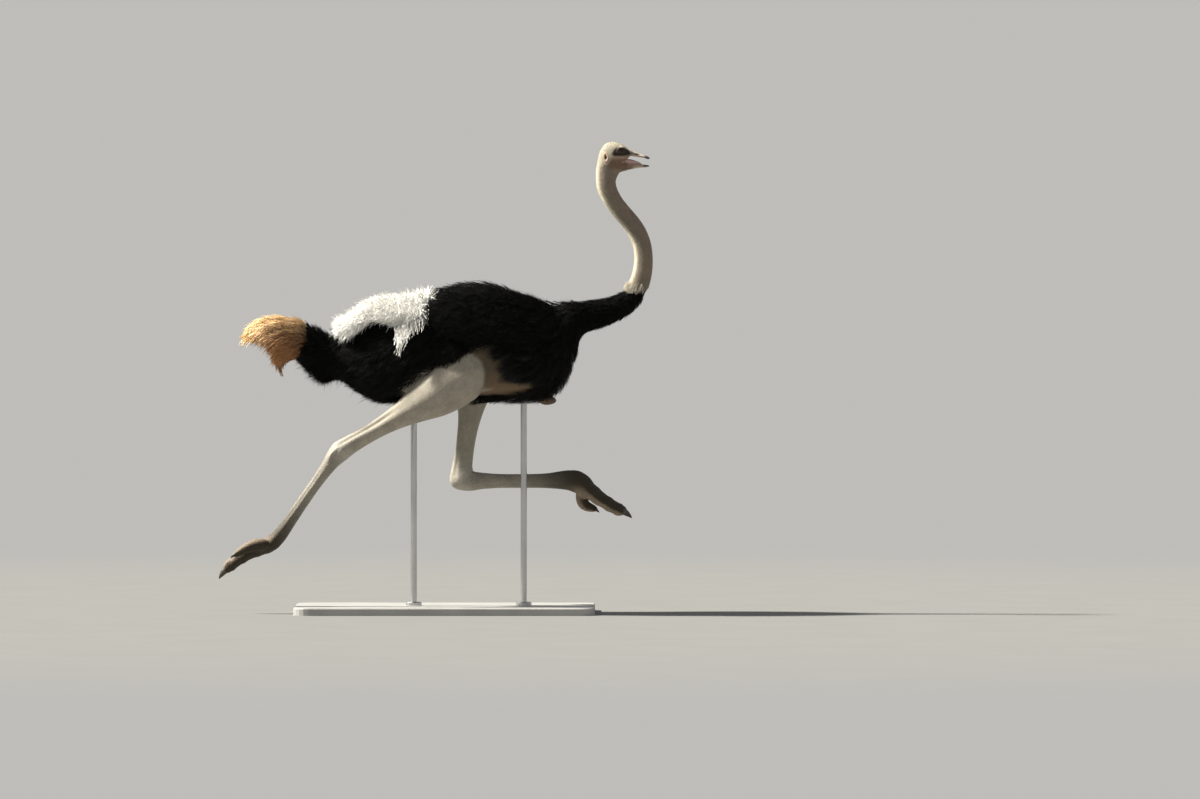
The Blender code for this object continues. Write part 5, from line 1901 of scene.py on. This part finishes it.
@dataclass
class BlackCoat:
    """The black plumage: trunk, neck base, tail coverts, folded wings and the edge over the thigh."""

    body: AxialForm
    legs: list[LegForm]
    wings: list[LeaningForm]
    finish: Material
    # Feather length at named rows, from the tail root to the neck root.
    lengths: Row = (
        0.105, 0.115, 0.125, 0.130, 0.135, 0.140, 0.135, 0.125, 0.110, 0.100, 0.090, 0.080, 0.068,
        0.054,
    )
    lean: float = 30.0  # degrees by which feathers of the side point down
    proud: float = 0.006  # how far tips may stand outside the bird's outline
    stray: float = 0.005  # how ragged the edges of the coat are
    trunk_count: int = 1700
    wing_count: int = 1150
    covert_count: int = 1100
    neck_count: int = 2000
    edge_count: int = 420
    usual: FeatherMake = FeatherMake(fluff=0.17, barb_width=0.0019, shaft_width=0.0013)

    def coat(self, name: str, hide: Hide, make: FeatherMake, seed: int, *nodes: str, **lie: object) -> Coat:
        """One coat of this plumage, kept inside the bird's outline."""
        lie = {"allowed": self.allowed, **lie}
        return Coat(name, hide, make, self.finish, "black_plumage", seed, nodes, **lie)

    def allowed(self, spine: Array) -> Array:
        """Which shafts may stay: inside the bird's outline, and clear of its naked flanks."""
        rows = self.body.rows[: self.body.first_head]
        outline = np.concatenate([rows[:, 0:2], rows[::-1, 2:4]])
        tip, middle = spine[:, -1], spine[:, spine.shape[1] // 2]
        slack = np.random.default_rng(9).normal(0, self.stray, len(tip))
        stays = within(tip[:, 0], tip[:, 2], outline) > slack - self.proud
        for side, bare in NAKED.items():
            beside = (tip[:, 1] * side > 0.045) | (middle[:, 1] * side > 0.045)
            over = [within(spot[:, 0], spot[:, 2], bare) for spot in (tip, middle)]
            stays &= ~(beside & (np.maximum(*over) > slack + self.proud / 2))
        return stays

    def growth(self, row: Array, turn: Array, rng: Random, spread: float = 11.0) -> Growth:
        """Growth on the trunk: back along the body, and down on the sides.

        Args:
            row: Table rows of the roots.
            turn: Their turns.
            rng: The random draws.
            spread: How far directions stray, in degrees.

        Returns:
            The growth.
        """
        place = self.body.place_of_row(row)
        on_neck = place > 0
        length = np.interp(row / self.body.fine, np.arange(len(self.lengths)), self.lengths)
        length = np.where(on_neck, 0.050 - 0.07 * place, length)
        outer, inner = (hide.read(hide.points, row, turn) for hide in (self.body.hide, self.body.skin))
        depth = np.linalg.norm(outer - inner, axis=1)
        down = np.where(turn < 0.5, 1.0, -1.0)
        steep = np.where(on_neck, 0.3, 1.0)
        lean = down * np.radians(self.lean) * np.sin(TURN * np.minimum(turn, 1 - turn)) * steep
        count = len(row)
        return Growth(
            row, turn, lean + np.radians(rng.normal(0, spread, count)),
            length * rng.uniform(0.75, 1.2, count), depth * rng.uniform(0.60, 0.98, count),
        )

    def trunk(self) -> None:
        """The trunk's feathers, right and left, but for the naked flank."""
        skin, fine = self.body.skin, self.body.fine
        for side, seed in ((RIGHT, 11), (LEFT, 12)):

            def keep(points: Array, row: Array, turn: Array) -> Array:
                """This side only, off the bare flank."""
                return ((turn < 0.5) == (side is LEFT)) & (bare_flank(points) < 0.5)

            row, turn, _, rng = sown(skin, self.trunk_count * 3, seed, 3.0 * fine, 13.2 * fine, keep)
            coat = self.coat("coat_trunk_" + side.label, skin, self.usual, seed + 50, most=self.trunk_count)
            coat.build(self.growth(row, turn, rng))

    def neck(self) -> None:
        """Short feathers round the base of the neck, up to the collar line."""
        make = FeatherMake(7, 5, reach=0.42, fluff=0.17, barb_width=0.0016, shaft_width=0.0011)
        body = self.body

        def keep(points: Array, row: Array, turn: Array) -> Array:
            """Below the collar line, which is a little ragged."""
            ragged = 0.006 * np.sin(37 * turn * TURN) + 0.004 * np.sin(61 * turn * TURN + 2)
            return body.place_of_row(row) < body.collar_at(turn) + ragged

        low, high = 12.6 * body.fine, float(body.row_on_neck(0.25))
        row, turn, _, rng = sown(body.skin, int(self.neck_count * 1.3), 21, low, high, keep)
        coat = self.coat("coat_neck_base", body.skin, make, 71, most=self.neck_count, allowed=None)
        coat.build(self.growth(row, turn, rng, 8.0))

    def coverts(self) -> None:
        """The long fluffy coverts over the root of the tail."""
        make = replace(self.usual, barbs=10, fluff=0.26, reach=0.36, sag=0.06, barb_width=0.0020)
        skin, fine = self.body.skin, self.body.fine
        row, turn, _, rng = sown(skin, self.covert_count * 3, 31, 0.0, 4.4 * fine)
        growth = self.growth(row, turn, rng, 14.0)
        growth.length *= np.interp(row / fine, (0, 2, 4), (0.55, 0.8, 1.0))
        lie = {"droop": 0.04, "most": self.covert_count}
        self.coat("coat_tail_coverts", skin, make, 81, "tail_coverts", **lie).build(growth)

    def folded_wings(self) -> None:
        """The coverts of both folded wings, smallest at the shoulder."""

        def keep(points: Array, row: Array, turn: Array) -> Array:
            """Only the outer side, from the upper edge round the lower one."""
            return (turn < 0.58) | (turn > 0.90)

        for wing, seed in zip(self.wings, (41, 42)):
            skin = wing.hide.sunk(WING_COAT)
            row, turn, _, rng = sown(skin, int(self.wing_count * 2.4), seed, 2, skin.rows - 5, keep)
            count = len(row)
            from_top = np.where(turn > 0.9, turn - 1, turn)
            growth = Growth(
                row, turn, np.radians(24 * np.sin(TURN * from_top) + rng.normal(0, 11, count)),
                (0.065 + 0.070 * (row / skin.rows)) * rng.uniform(0.8, 1.2, count),
                WING_COAT * rng.uniform(0.6, 1.0, count),
            )
            label, make = wing.side.label, replace(self.usual, reach=0.36)
            lie = {"onward": 1, "droop": 0.05, "most": self.wing_count}
            self.coat("coat_wing_" + label, skin, make, seed + 50, "wing_" + label, **lie).build(growth)

    def laid(
        self, surface: Hide, side: int, count: int, rng: Random, high: float
    ) -> tuple[Array, Array, Array, Array]:
        """Shafts over the top of a thigh, pointing back and down along the edge of what is bare.

        A shaft leaves the skin by the square of its length over twice the thigh's radius less
        than a straight one would, so that it keeps close to the round thigh.

        Args:
            surface: The surface that the feathers grow on.
            side: RIGHT or LEFT.
            count: How many to try.
            rng: The random draws.
            high: The surface's last row to use.

        Returns:
            Points along each shaft, outward directions, rows and turns.
        """
        row, turn = surface.scatter(count, rng, 1, high)
        root = surface.read(surface.points, row, turn)
        normal = unit(surface.read(surface.normal, row, turn))
        gap = within(root[:, 0], root[:, 2], NAKED[side])
        kept = (gap < -0.003) & (gap > -0.10) & (root[:, 1] * side > 0.11) & (normal[:, 1] * side > -0.1)
        kept &= root[:, 2] > 0.965 + 0.35 * root[:, 0]
        row, turn, root, normal = row[kept], turn[kept], root[kept], normal[kept]
        lean = np.radians(37 + rng.normal(0, 15, len(row)))
        way = np.stack([-np.cos(lean), 0 * lean, -np.sin(lean)], 1)
        way = unit(way - (way * normal).sum(1)[:, None] * normal)[:, None]
        share = np.linspace(0, 1, 5)[None, :, None]
        length = rng.uniform(0.045, 0.080, len(row))[:, None, None]
        lift = rng.uniform(0.006, 0.015, len(row))[:, None, None]
        rise = lift * share**1.2 - 0.002 * (1 - share) - (length * share) ** 2 / 0.20
        normal = np.broadcast_to(normal[:, None], (len(row), 5, 3))
        return root[:, None] + share * length * way + rise * normal, normal, row, turn

    def thigh_edges(self) -> None:
        """The feathers that hang over the top of each naked thigh."""
        make = FeatherMake(8, 5, fluff=0.18, reach=0.4, barb_width=0.0018, shaft_width=0.0012)
        for leg, seed in zip(self.legs, (61, 62)):
            rng = np.random.default_rng(seed)
            parts = [
                self.laid(surface, leg.side, self.edge_count * 9, rng, high)
                for surface, high in ((Hide(leg.thigh_rings()), 38), (leg.smooth, 50))
            ]
            shafts = [np.concatenate(part) for part in zip(*parts)]
            stays = rng.permutation(np.flatnonzero(self.allowed(shafts[0])))[: self.edge_count]
            coat = self.coat("coat_thigh_edge_" + leg.side.label, leg.smooth, make, seed + 50)
            coat.from_spines(*(each[stays] for each in shafts))

    def build(self) -> None:
        """Grows all of the black plumage."""
        self.trunk()
        self.neck()
        self.coverts()
        self.folded_wings()
        self.thigh_edges()


@dataclass
class WhitePlumes:
    """The white plumes of both wings, laid over the rump, with a lock that hangs on each flank."""

    body: AxialForm
    plumes: list[LeaningForm]
    finish: Material
    # Outline of the white plumes, seen from the side.
    outline: Rows = mm(
        2,
        -448, 1144, -436, 1180, -400, 1192, -360, 1200, -340, 1240, -288, 1260, -240, 1270, -192, 1272,
        -128, 1276, -100, 1292, -52, 1298, -48, 1264, -60, 1236, -72, 1212, -68, 1160, -84, 1120,
        -128, 1112, -152, 1088, -168, 1052, -180, 1028, -196, 1064, -208, 1088, -192, 1128, -212, 1148,
        -256, 1168, -288, 1176, -328, 1160, -360, 1128, -392, 1100, -424, 1112,
    )
    count: int = 1050
    lock_count: int = 150

    def allowed(self, spine: Array) -> Array:
        """Which shafts may stay: those whose root, middle and tip lie inside the outline."""
        slack = np.random.default_rng(8).normal(0, 0.005, len(spine))
        stays = np.ones(len(spine), bool)
        for knot, room in ((0, 0.004), (spine.shape[1] // 2, -0.008), (-1, -0.003)):
            point = spine[:, knot]
            stays &= within(point[:, 0], point[:, 2], self.outline) > slack - room
        return stays

    def coat(self, name: str, hide: Hide, make: FeatherMake, seed: int, *nodes: str, **lie: object) -> Coat:
        """One coat of this plumage, kept inside its outline."""
        lie = {"allowed": self.allowed, **lie}
        return Coat(name, hide, make, self.finish, "white_plumage", seed, nodes, **lie)

    def over_rump(self) -> None:
        """Curly white plumes over the outside and top of each plume form."""
        make = FeatherMake(
            10, reach=0.40, spread=48, closing=0.45, fluff=0.34, wave=0.11, sag=0.04, shaft_width=0.0017
        )
        for form, seed in zip(self.plumes, (201, 202)):
            skin = form.hide.sunk(0.020)
            row, turn, _, rng = sown(skin, self.count * 7, seed, 0, skin.rows - 3)
            count = len(row)
            # Towards the front the plumes curl every way, further back they stream tailwards.
            stray = 26 + 60 * ramp(0.42, 0.12, row / skin.rows)
            growth = Growth(
                row, turn, np.radians(12 * np.sin(TURN * turn) + rng.normal(0, 1, count) * stray),
                rng.uniform(0.050, 0.125, count), rng.uniform(0.010, 0.026, count),
            )
            label, lie = form.side.label, {"onward": 1, "droop": 0.25, "most": self.count}
            self.coat("plumes_white_" + label, skin, make, seed, "wing_plumes_" + label, **lie).build(growth)

    def hanging_locks(self) -> None:
        """A lock of white plumes that hangs from the wing down each flank."""
        make = FeatherMake(knots=7, reach=0.11, spread=20, fluff=0.3, wave=0.12, barb_width=0.0022)
        for side, seed in ((RIGHT, 211), (LEFT, 212)):
            rng = np.random.default_rng(seed)
            count = self.lock_count * 6
            named, turn = rng.uniform(5.85, 6.70, count), rng.uniform(0.105, 0.175, count)
            growth = Growth(
                named * self.body.fine, turn if side is LEFT else 1 - turn,
                side * np.radians(80 + rng.normal(0, 16, count)),
                rng.uniform(0.05, 0.14, count), rng.uniform(0.042, 0.056, count),
            )
            lie = {"curve": 0.35, "root_depth": 0.0, "most": self.lock_count}
            self.coat("plumes_lock_" + side.label, self.body.skin, make, seed, **lie).build(growth)

    def build(self) -> None:
        """Grows all of the white plumage."""
        self.over_rump()
        self.hanging_locks()


@dataclass
class TailPlumes:
    """The buff plumes of the tail: a crest that arches over and lower plumes that hang."""

    body: AxialForm
    finish: Material
    # Lines that the plumes follow, as x and z from the tail's root, from the crest downwards.
    guides: tuple[Rows, ...] = (
        mm(
            2,
            -544, 1120, -556, 1160, -580, 1174, -620, 1186, -668, 1193, -720, 1190, -772, 1174,
            -808, 1144, -822, 1104, -814, 1060,
        ),
        mm(
            2,
            -544, 1112, -560, 1148, -588, 1160, -628, 1170, -680, 1172, -732, 1156, -772, 1128,
            -796, 1096, -806, 1060,
        ),
        mm(
            2,
            -544, 1104, -564, 1130, -592, 1138, -636, 1146, -680, 1140, -720, 1124, -752, 1100,
            -776, 1072,
        ),
        mm(2, -544, 1096, -568, 1108, -596, 1112, -632, 1108, -668, 1092, -700, 1068, -728, 1046),
        mm(2, -544, 1084, -568, 1086, -592, 1084, -620, 1072, -652, 1050, -676, 1024, -696, 996),
        mm(
            2,
            -544, 1072, -568, 1066, -592, 1058, -620, 1042, -644, 1018, -660, 992, -660, 972, -652, 946,
        ),
        mm(2, -544, 1060, -564, 1048, -580, 1038, -600, 1024, -620, 1012),
        mm(2, -544, 1048, -560, 1032, -572, 1020, -588, 1004),
    )
    half_width: Rows = ((0.0, 0.066), (0.25, 0.100), (0.6, 0.112), (1.0, 0.078))
    knots: int = 11

    def lines(self, level: Array, way: Array) -> Array:
        """Points on the guides: between neighbouring guides at the same share of their lengths.

        Args:
            level: Which guide each plume follows, with fractions between two.
            way: Shares of the length, for each plume.

        Returns:
            x and z of each plume's points.
        """
        table, steps, last = [], 60, len(self.guides) - 2
        for line in map(np.array, self.guides):
            arc = distances(line)
            table.append(through(arc / arc[-1], line, np.linspace(0, 1, steps + 1)))
        table = np.array(table)
        spot = np.clip(way * steps, 0, steps)
        low, near = np.floor(spot).astype(int).clip(0, steps - 1), np.floor(level).astype(int).clip(0, last)
        along, between = (spot - low)[..., None], (level - near)[:, None, None]
        near = near[:, None]
        first, second = (table[k, low] * (1 - along) + table[k, low + 1] * along for k in (near, near + 1))
        return first * (1 - between) + second * between

    def grown(
        self, name: str, level: Array, across: Array, reach: tuple[Array, Array], make: FeatherMake,
        seed: int, *nodes: str,
    ) -> None:
        """Grows plumes along the guides.

        A plume at level u and place v across is moved sideways by v half widths, and its vane
        faces out of the bundle. Each wanders a little as it goes.

        Args:
            name: The piece's name.
            level: Which guide each plume follows.
            across: Its place across the bundle, from -1 to 1.
            reach: The shares of the guide at which it starts and ends.
            make: How the plumes are made.
            seed: Seed of the random draws.
            *nodes: Solids that the piece stands for.
        """
        rng = np.random.default_rng(seed)
        count, (start, end) = len(level), reach
        way = start[:, None] + (end - start)[:, None] * np.linspace(0, 1, self.knots)[None]
        place = self.lines(level, way)
        narrow = 1 - 0.55 * ramp(3.0, 5.5, level)[:, None] * ramp(0.2, 0.9, way)
        wide = np.interp(way, *np.array(self.half_width).T) * narrow
        phase = rng.uniform(0, TURN, (count, 3, 1))
        rate = rng.uniform(5.0, 9.0, (count, 3, 1))
        wander = 0.0034 * (np.sin(rate * way[:, None] + phase) - np.sin(phase)) * (0.3 + way[:, None])
        spine = np.stack([place[..., 0], wide * across[:, None], place[..., 1]], -1)
        spine += np.moveaxis(wander, 1, -1)
        heading = unit(np.gradient(spine, axis=1))
        up = 1 - level[:, None] / 3.5
        normal = side_by_side(-up * heading[..., 2], across[:, None], -up * heading[..., 0])
        outer = Hide(self.body.hide.points[: 4 * self.body.fine])
        make = replace(make, knots=self.knots)
        # Painted light and shade: the crest's plumes get a high tone and so the pale colour, the lower plumes
        # a low tone and so a darker colour.
        tone = np.clip(1.02 - 0.31 * level + rng.normal(0, 0.16, count), 0, 1)
        coat = Coat(name, outer, make, self.finish, "buff_plumage", seed, nodes)
        coat.from_spines(spine, unit(normal + 1e-3), 8 + 16 * level / 7, 0.5 * (1 + across), tone)

    def build(self) -> None:
        """Grows the tail: an outer layer, a deeper one, and the lock that draws to a curl."""
        make = FeatherMake(
            first=0.05, reach=0.24, spread=11, closing=0.6, bend=0.6, fluff=0.06, wave=0.05,
            barb_width=0.0021, shaft_width=0.0021,
        )
        for name, count, low, high, seed, nodes in (
            ("outer", 1050, 0.72, 1.0, 301, ("tail_plumes",)),
            ("inner", 330, 0.25, 0.72, 302, ()),
        ):
            rng = np.random.default_rng(seed)
            radius, angle = rng.uniform(low, high, count), rng.uniform(0, TURN, count)
            high = radius * np.cos(angle)
            level = 3.3 - np.where(high > 0, 2.85, 3.2) * high
            start, end = rng.uniform(0.0, 0.20, count), rng.uniform(0.62, 0.90, count)
            reach = start, np.where(level > 4.6, np.minimum(end, 0.72), end)
            self.grown("plumes_tail_" + name, level, radius * np.sin(angle), reach, make, seed, *nodes)
        rng, count = np.random.default_rng(311), 150
        level = rng.normal(0, 1, count)
        start, end = rng.uniform(0.1, 0.4, count), rng.uniform(0.74, 0.98, count)
        # The longest plumes of the lock lie closest together, so that it ends in a point.
        level = np.clip(5.0 + 1.3 * level * (1 - end), 4.4, 5.4)
        across, lock = rng.normal(0, 0.25, count), replace(make, reach=0.12, spread=8)
        self.grown("plumes_tail_lock", level, across, (start, end), lock, 311, "tail_lock")


@dataclass
class Down:
    """The hair-like down of neck and head, the pale collar and the eyelashes."""

    body: AxialForm
    head: HeadForm
    finish: Material
    neck_finish: Material
    lash_finish: Material
    neck_count: int = 26_000
    head_count: int = 28_000
    collar_count: int = 420
    lash_count: int = 26

    def on_neck(self) -> None:
        """Thin down over the bare neck, lying towards the body, a little longer at the nape."""
        make = FeatherMake(0, 3, shaft_width=0.00062)
        body = self.body
        low, high = float(body.row_on_neck(0.17)), (body.first_head + 2.4) * body.fine

        def keep(points: Array, row: Array, turn: Array) -> Array:
            """Above the collar line, and below the pale head and the bare cheek."""
            x, _, z = points.T
            loose = np.random.default_rng(400).normal(0, 1, len(row))
            below = z < 1.803 + 0.35 * (x - 0.64) + 0.005 * loose
            behind = x < 0.658 + 0.006 * loose
            return (body.place_of_row(row) > body.collar_at(turn) - 0.012) & below & (behind | (z < 1.765))

        row, turn, _, rng = sown(body.skin, int(self.neck_count * 1.1), 401, low, high, keep)
        count, nape = len(row), (1 + np.cos(TURN * turn)) / 2
        growth = Growth(
            row, turn, np.radians(rng.normal(0, 16, count)),
            (0.007 + 0.006 * nape) * rng.uniform(0.6, 1.3, count),
            (0.0011 + 0.0024 * nape**2) * rng.uniform(0.4, 1.5, count),
        )
        # Painted highlight: down towards the nape gets a high tone, and so the pale colour of the neck down.
        growth.tone = np.clip(ramp(0.72, 0.96, nape) + rng.normal(0, 0.10, count), 0, 1)
        coat = Coat("down_neck", body.skin, make, self.neck_finish, "neck_skin", 402)
        replace(coat, curve=1.0, root_depth=0.0012, most=self.neck_count).build(growth)

    def on_head(self) -> None:
        """Short down over crown, nape and cheeks, clear of eyes, ears and bill."""
        make = FeatherMake(0, 3, shaft_width=0.00052)
        body, head = self.body, self.head
        low, high = (body.first_head - 0.4) * body.fine, (body.first_head + 4.7) * body.fine

        def keep(points: Array, row: Array, turn: Array) -> Array:
            """Off the dark mask, the ears, the lore and the palate."""
            x, _, z = points.T
            ear = np.hypot((x - head.ear[0]) / 0.0100, (z - head.ear[1]) / 0.0190) > 1
            loose = np.random.default_rng(410).normal(0, 1, len(x))
            lore = z > 1.828 + 0.30 * (x - 0.68) + 0.002 * loose
            face = (within(x, z, head.mask) < -0.001) & ear & (lore | (x < 0.664 + 0.006 * loose))
            return face & (z > 1.797 + 0.35 * (x - 0.64) + 0.005 * loose)

        row, turn, points, rng = sown(body.skin, int(self.head_count * 1.3), 411, low, high, keep)
        count, shorter = len(row), ramp(0.665, 0.735, points[:, 0])
        growth = Growth(
            row, turn, np.radians(rng.normal(0, 20, count)),
            (0.0060 - 0.0030 * shorter) * rng.uniform(0.7, 1.3, count),
            (0.0013 - 0.0006 * shorter) * rng.uniform(0.5, 1.4, count),
        )
        coat = Coat("down_head", body.skin, make, self.finish, "head_skin", 412)
        replace(coat, curve=1.0, root_depth=0.0008, most=self.head_count).build(growth)

    def collar(self) -> None:
        """Pale tufts that stand out where the black feathers of the neck end, most at the nape."""
        make = FeatherMake(4, 4, 2, reach=0.55, spread=34, fluff=0.3, barb_width=0.001, shaft_width=0.001)
        rng, count = np.random.default_rng(421), self.collar_count
        turn = rng.normal(0, 0.13, count) % 1
        place = self.body.collar_at(turn) + rng.uniform(0.002, 0.030, count)
        growth = Growth(
            self.body.row_on_neck(place), turn, np.radians(rng.normal(0, 20, count)),
            rng.uniform(0.014, 0.026, count), rng.uniform(0.005, 0.011, count),
        )
        coat = Coat("down_collar", self.body.skin, make, self.finish, "neck_skin", 422, curve=1.0)
        coat.build(growth)

    def lashes(self) -> None:
        """Stiff dark lashes along the rim of each upper lid."""
        make = FeatherMake(
            1, 5, 2, reach=0.3, spread=12, fluff=0.1, barb_width=0.0005, shaft_width=0.0007
        )
        head, spines, normals = self.head, [], []
        for side in Side:
            rng = np.random.default_rng(431)
            turn = np.linspace(math.radians(12), math.radians(168), self.lash_count)
            edge = head.lid_edge(turn)
            root = head.on_eye(side, edge, turn, np.full_like(edge, head.eye_radius + 0.0018))
            sight, forward, up = head.gaze_frame(side)
            fan = np.cos(turn)[:, None] * forward * 0.55
            way = unit(sight * 0.9 + fan + up * 0.15)
            length = 0.0095 * rng.uniform(0.75, 1.1, len(turn))[:, None, None]
            share = np.linspace(0, 1, make.knots)[None, :, None]
            spines.append(root[:, None] + length * (share * way[:, None] + 0.38 * share**2 * up))
            normals.append(np.broadcast_to(up, spines[-1].shape))
        spine, normal = np.concatenate(spines), np.concatenate(normals)
        row = np.full(len(spine), (self.body.first_head + 3.5) * self.body.fine)
        coat = Coat("lashes", self.body.skin, make, self.lash_finish, "head_skin", 432)
        coat.from_spines(spine, normal, row, np.linspace(0.2, 0.8, len(spine)))

    def build(self) -> None:
        """Grows all of the down."""
        self.on_neck()
        self.on_head()
        self.collar()
        self.lashes()


# Stand and studio


SMOOTH = {"interpolation_type": "SMOOTHSTEP"}


def dress_stand(nodes: dict[str, bpy.types.Object]) -> None:
    """Paints the stand's plate and gives its rods their brushed steel."""
    paint = Coated("base_paint", 0.52, colour=(0.33, 0.325, 0.31), worn=(0.39, 0.385, 0.37)).make()
    steel = Coated(
        "rod_steel", 0.30, (0.50, 0.50, 0.50), (0.60, 0.60, 0.59), metallic=1.0, grain=900.0, relief=0.00006
    ).make()
    for name, material in (("stand_base", paint), ("stand_rod_front", steel), ("stand_rod_rear", steel)):
        slots = nodes[name].data.materials
        slots.clear()
        slots.append(material)


@dataclass
class Studio:
    """A plain pale floor, soft light from above and behind, and a distant camera on the right."""

    aim: Row = (0.620, 0.0, 0.854)
    distance: float = 40.0
    rise: float = 1.0  # degrees that the camera stands above its aim
    width: float = 4.8  # metres across the frame at the bird
    sensor: float = 36.0
    floor_radius: float = 90.0
    floor_tone: float = 0.200  # how much light the floor gives back
    backdrop: Colour = (0.52, 0.51, 0.49)
    above: Colour = (0.34, 0.345, 0.36)  # the studio's light from overhead
    below: Colour = (0.20, 0.185, 0.16)
    sun_strength: float = 10.6
    sun_angle: float = 4.0  # how wide the lamp looks, in degrees
    sun_colour: Colour = (1.0, 0.955, 0.865)
    sun_from: Row = (-0.70, 0.065, 0.71)

    def floor(self) -> None:
        """A flat disc whose far parts take on the backdrop's tone, so that no edge shows."""
        radius = (self.floor_radius * np.linspace(0, 1, 40)[1:] ** 2)[:, None]
        turn = np.arange(96) * TURN / 96
        rings = np.stack([radius * np.cos(turn), radius * np.sin(turn), 0 * radius * turn], 2)
        floor = disc(rings).put_in_scene("floor")
        made = bpy.data.materials.new("floor_paint")
        made.use_nodes = True
        nodes, bench = made.node_tree.nodes, NodeBench(made.node_tree)
        place = bench.add("TexCoord").outputs["Object"]
        far = bench.add("VectorMath", {"operation": "LENGTH"}, i0=place).outputs["Value"]
        fade = bench.add("MapRange", SMOOTH, Value=far, From_Min=2.5, From_Max=9.0).outputs[0]
        dark, pale = ((t, t, t * 0.97, 1) for t in (self.floor_tone * 0.98, self.floor_tone * 1.02))
        tone = bench.mix(bench.blotches(3.0, 4.0), dark, pale)
        shader = bench.feed(
            nodes["Principled BSDF"], Base_Color=tone, Roughness=0.9, Specular_IOR_Level=0.1
        )
        glow = bench.add("Emission", Color=(*self.backdrop, 1), Strength=1.0)
        blend = bench.add("MixShader", Fac=fade, i1=shader.outputs[0], i2=glow.outputs[0])
        bench.feed(nodes["Material Output"], Surface=blend.outputs[0])
        floor.data.materials.append(made)

    def sun(self) -> None:
        """A soft distant lamp behind the bird."""
        lamp = bpy.data.lights.new("key", "SUN")
        lamp.energy, lamp.angle, lamp.color = self.sun_strength, math.radians(self.sun_angle), self.sun_colour
        x, y, z = unit(np.array(self.sun_from))
        linked("key", lamp).rotation_euler = (math.acos(z), 0.0, math.atan2(x, -y))

    def surroundings(self) -> None:
        """A room of light: the backdrop's tone all round, dimmer overhead and below."""
        world = bpy.data.worlds.new("studio")
        bpy.context.scene.world = world
        world.use_nodes = True
        bench = NodeBench(world.node_tree)
        way = bench.add("TexCoord").outputs["Generated"]
        height = bench.add("SeparateXYZ", Vector=way).outputs["Z"]
        upper = bench.add("MapRange", SMOOTH, Value=height, From_Min=0.14, From_Max=0.5).outputs[0]
        lower = bench.add("MapRange", SMOOTH, Value=height, From_Min=-0.10, From_Max=-0.45).outputs[0]
        tone = bench.mix(upper, (*self.backdrop, 1), (*self.above, 1))
        bench.feed(world.node_tree.nodes["Background"], Color=bench.mix(lower, tone, (*self.below, 1)))

    def camera(self) -> None:
        """A distant camera square to the bird's right side, a little above its middle."""
        camera = bpy.data.cameras.new("camera")
        camera.sensor_width = self.sensor
        camera.lens = self.sensor * self.distance / self.width
        camera.clip_start, camera.clip_end = 1.0, 400.0
        made = linked("camera", camera)
        slope = math.radians(self.rise)
        back = np.array([0, -math.cos(slope), math.sin(slope)])
        made.location = np.array(self.aim) + self.distance * back
        made.rotation_euler = (math.pi / 2 - slope, 0.0, 0.0)
        bpy.context.scene.camera = made

    def build(self) -> None:
        """Sets up floor, light, surroundings and camera."""
        self.floor()
        self.sun()
        self.surroundings()
        self.camera()
        bpy.context.scene.view_settings.view_transform = "Standard"


def main() -> None:
    logging.basicConfig(level=logging.INFO, format="%(message)s")
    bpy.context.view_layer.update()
    body, head, legs = AxialForm(), HeadForm(), both_legs()
    wings = [LeaningForm(WING_ROWS, WING_LEAN, side) for side in Side]
    plumes = [LeaningForm(PLUME_ROWS, PLUME_LEAN, side) for side in Side]
    Skin(body, head, legs, wings).build(Hideskin("bare_skin", 0.62).make())
    horn = HeadHorn(body, head)
    bill_horn = Horn("bill_horn", 0.42).make()
    horn.upper_bill(bill_horn)
    horn.lower_bill(bill_horn)
    horn.tongue(Horn("moist_tongue", 0.32, streak=0.12, coat=0.6).make())
    wet_eye = Eyeball("wet_eye", 0.12).make()
    for side in Side:
        horn.eyeball(side, wet_eye)
    claw_horn = Horn("claw_horn", 0.45, streak=0.45).make()
    for leg in legs:
        build_claws(leg, claw_horn)
    black = Plumage(
        "black_feathers", 0.75, (0.002, 0.002, 0.002), (0.0085, 0.0088, 0.0080), spread=0.5, gloss=0.05
    ).make()
    white = Plumage("white_feathers", 0.70, (0.77, 0.755, 0.71), (0.90, 0.89, 0.85), spread=0.08).make()
    # The buff plumes: their dark roots are partly painted shade inside the tail, and their pale colour at the
    # crest and tips is painted sunlight.
    buff = Plumage(
        "buff_feathers", 0.60, (0.17, 0.066, 0.022), (0.47, 0.212, 0.070), (0.86, 0.68, 0.37), paling=1.0,
        paling_along=0.55, spread=0.50,
    ).make()
    down = Plumage("pale_down", 0.70, (0.42, 0.375, 0.295), (0.56, 0.515, 0.41), spread=0.18).make()
    # The neck down's pale colour, laid at the nape, is a painted highlight.
    grey_down = Plumage(
        "neck_down", 0.70, (0.175, 0.143, 0.104), (0.285, 0.240, 0.180), (0.72, 0.67, 0.53), paling=1.0,
        spread=0.20,
    ).make()
    BlackCoat(body, legs, wings, black).build()
    WhitePlumes(body, plumes, white).build()
    TailPlumes(body, buff).build()
    Down(body, head, down, grey_down, black).build()
    dress_stand(frame["nodes"])
    Studio().build()
    bpy.context.view_layer.update()


if __name__ == "__main__":
    main()
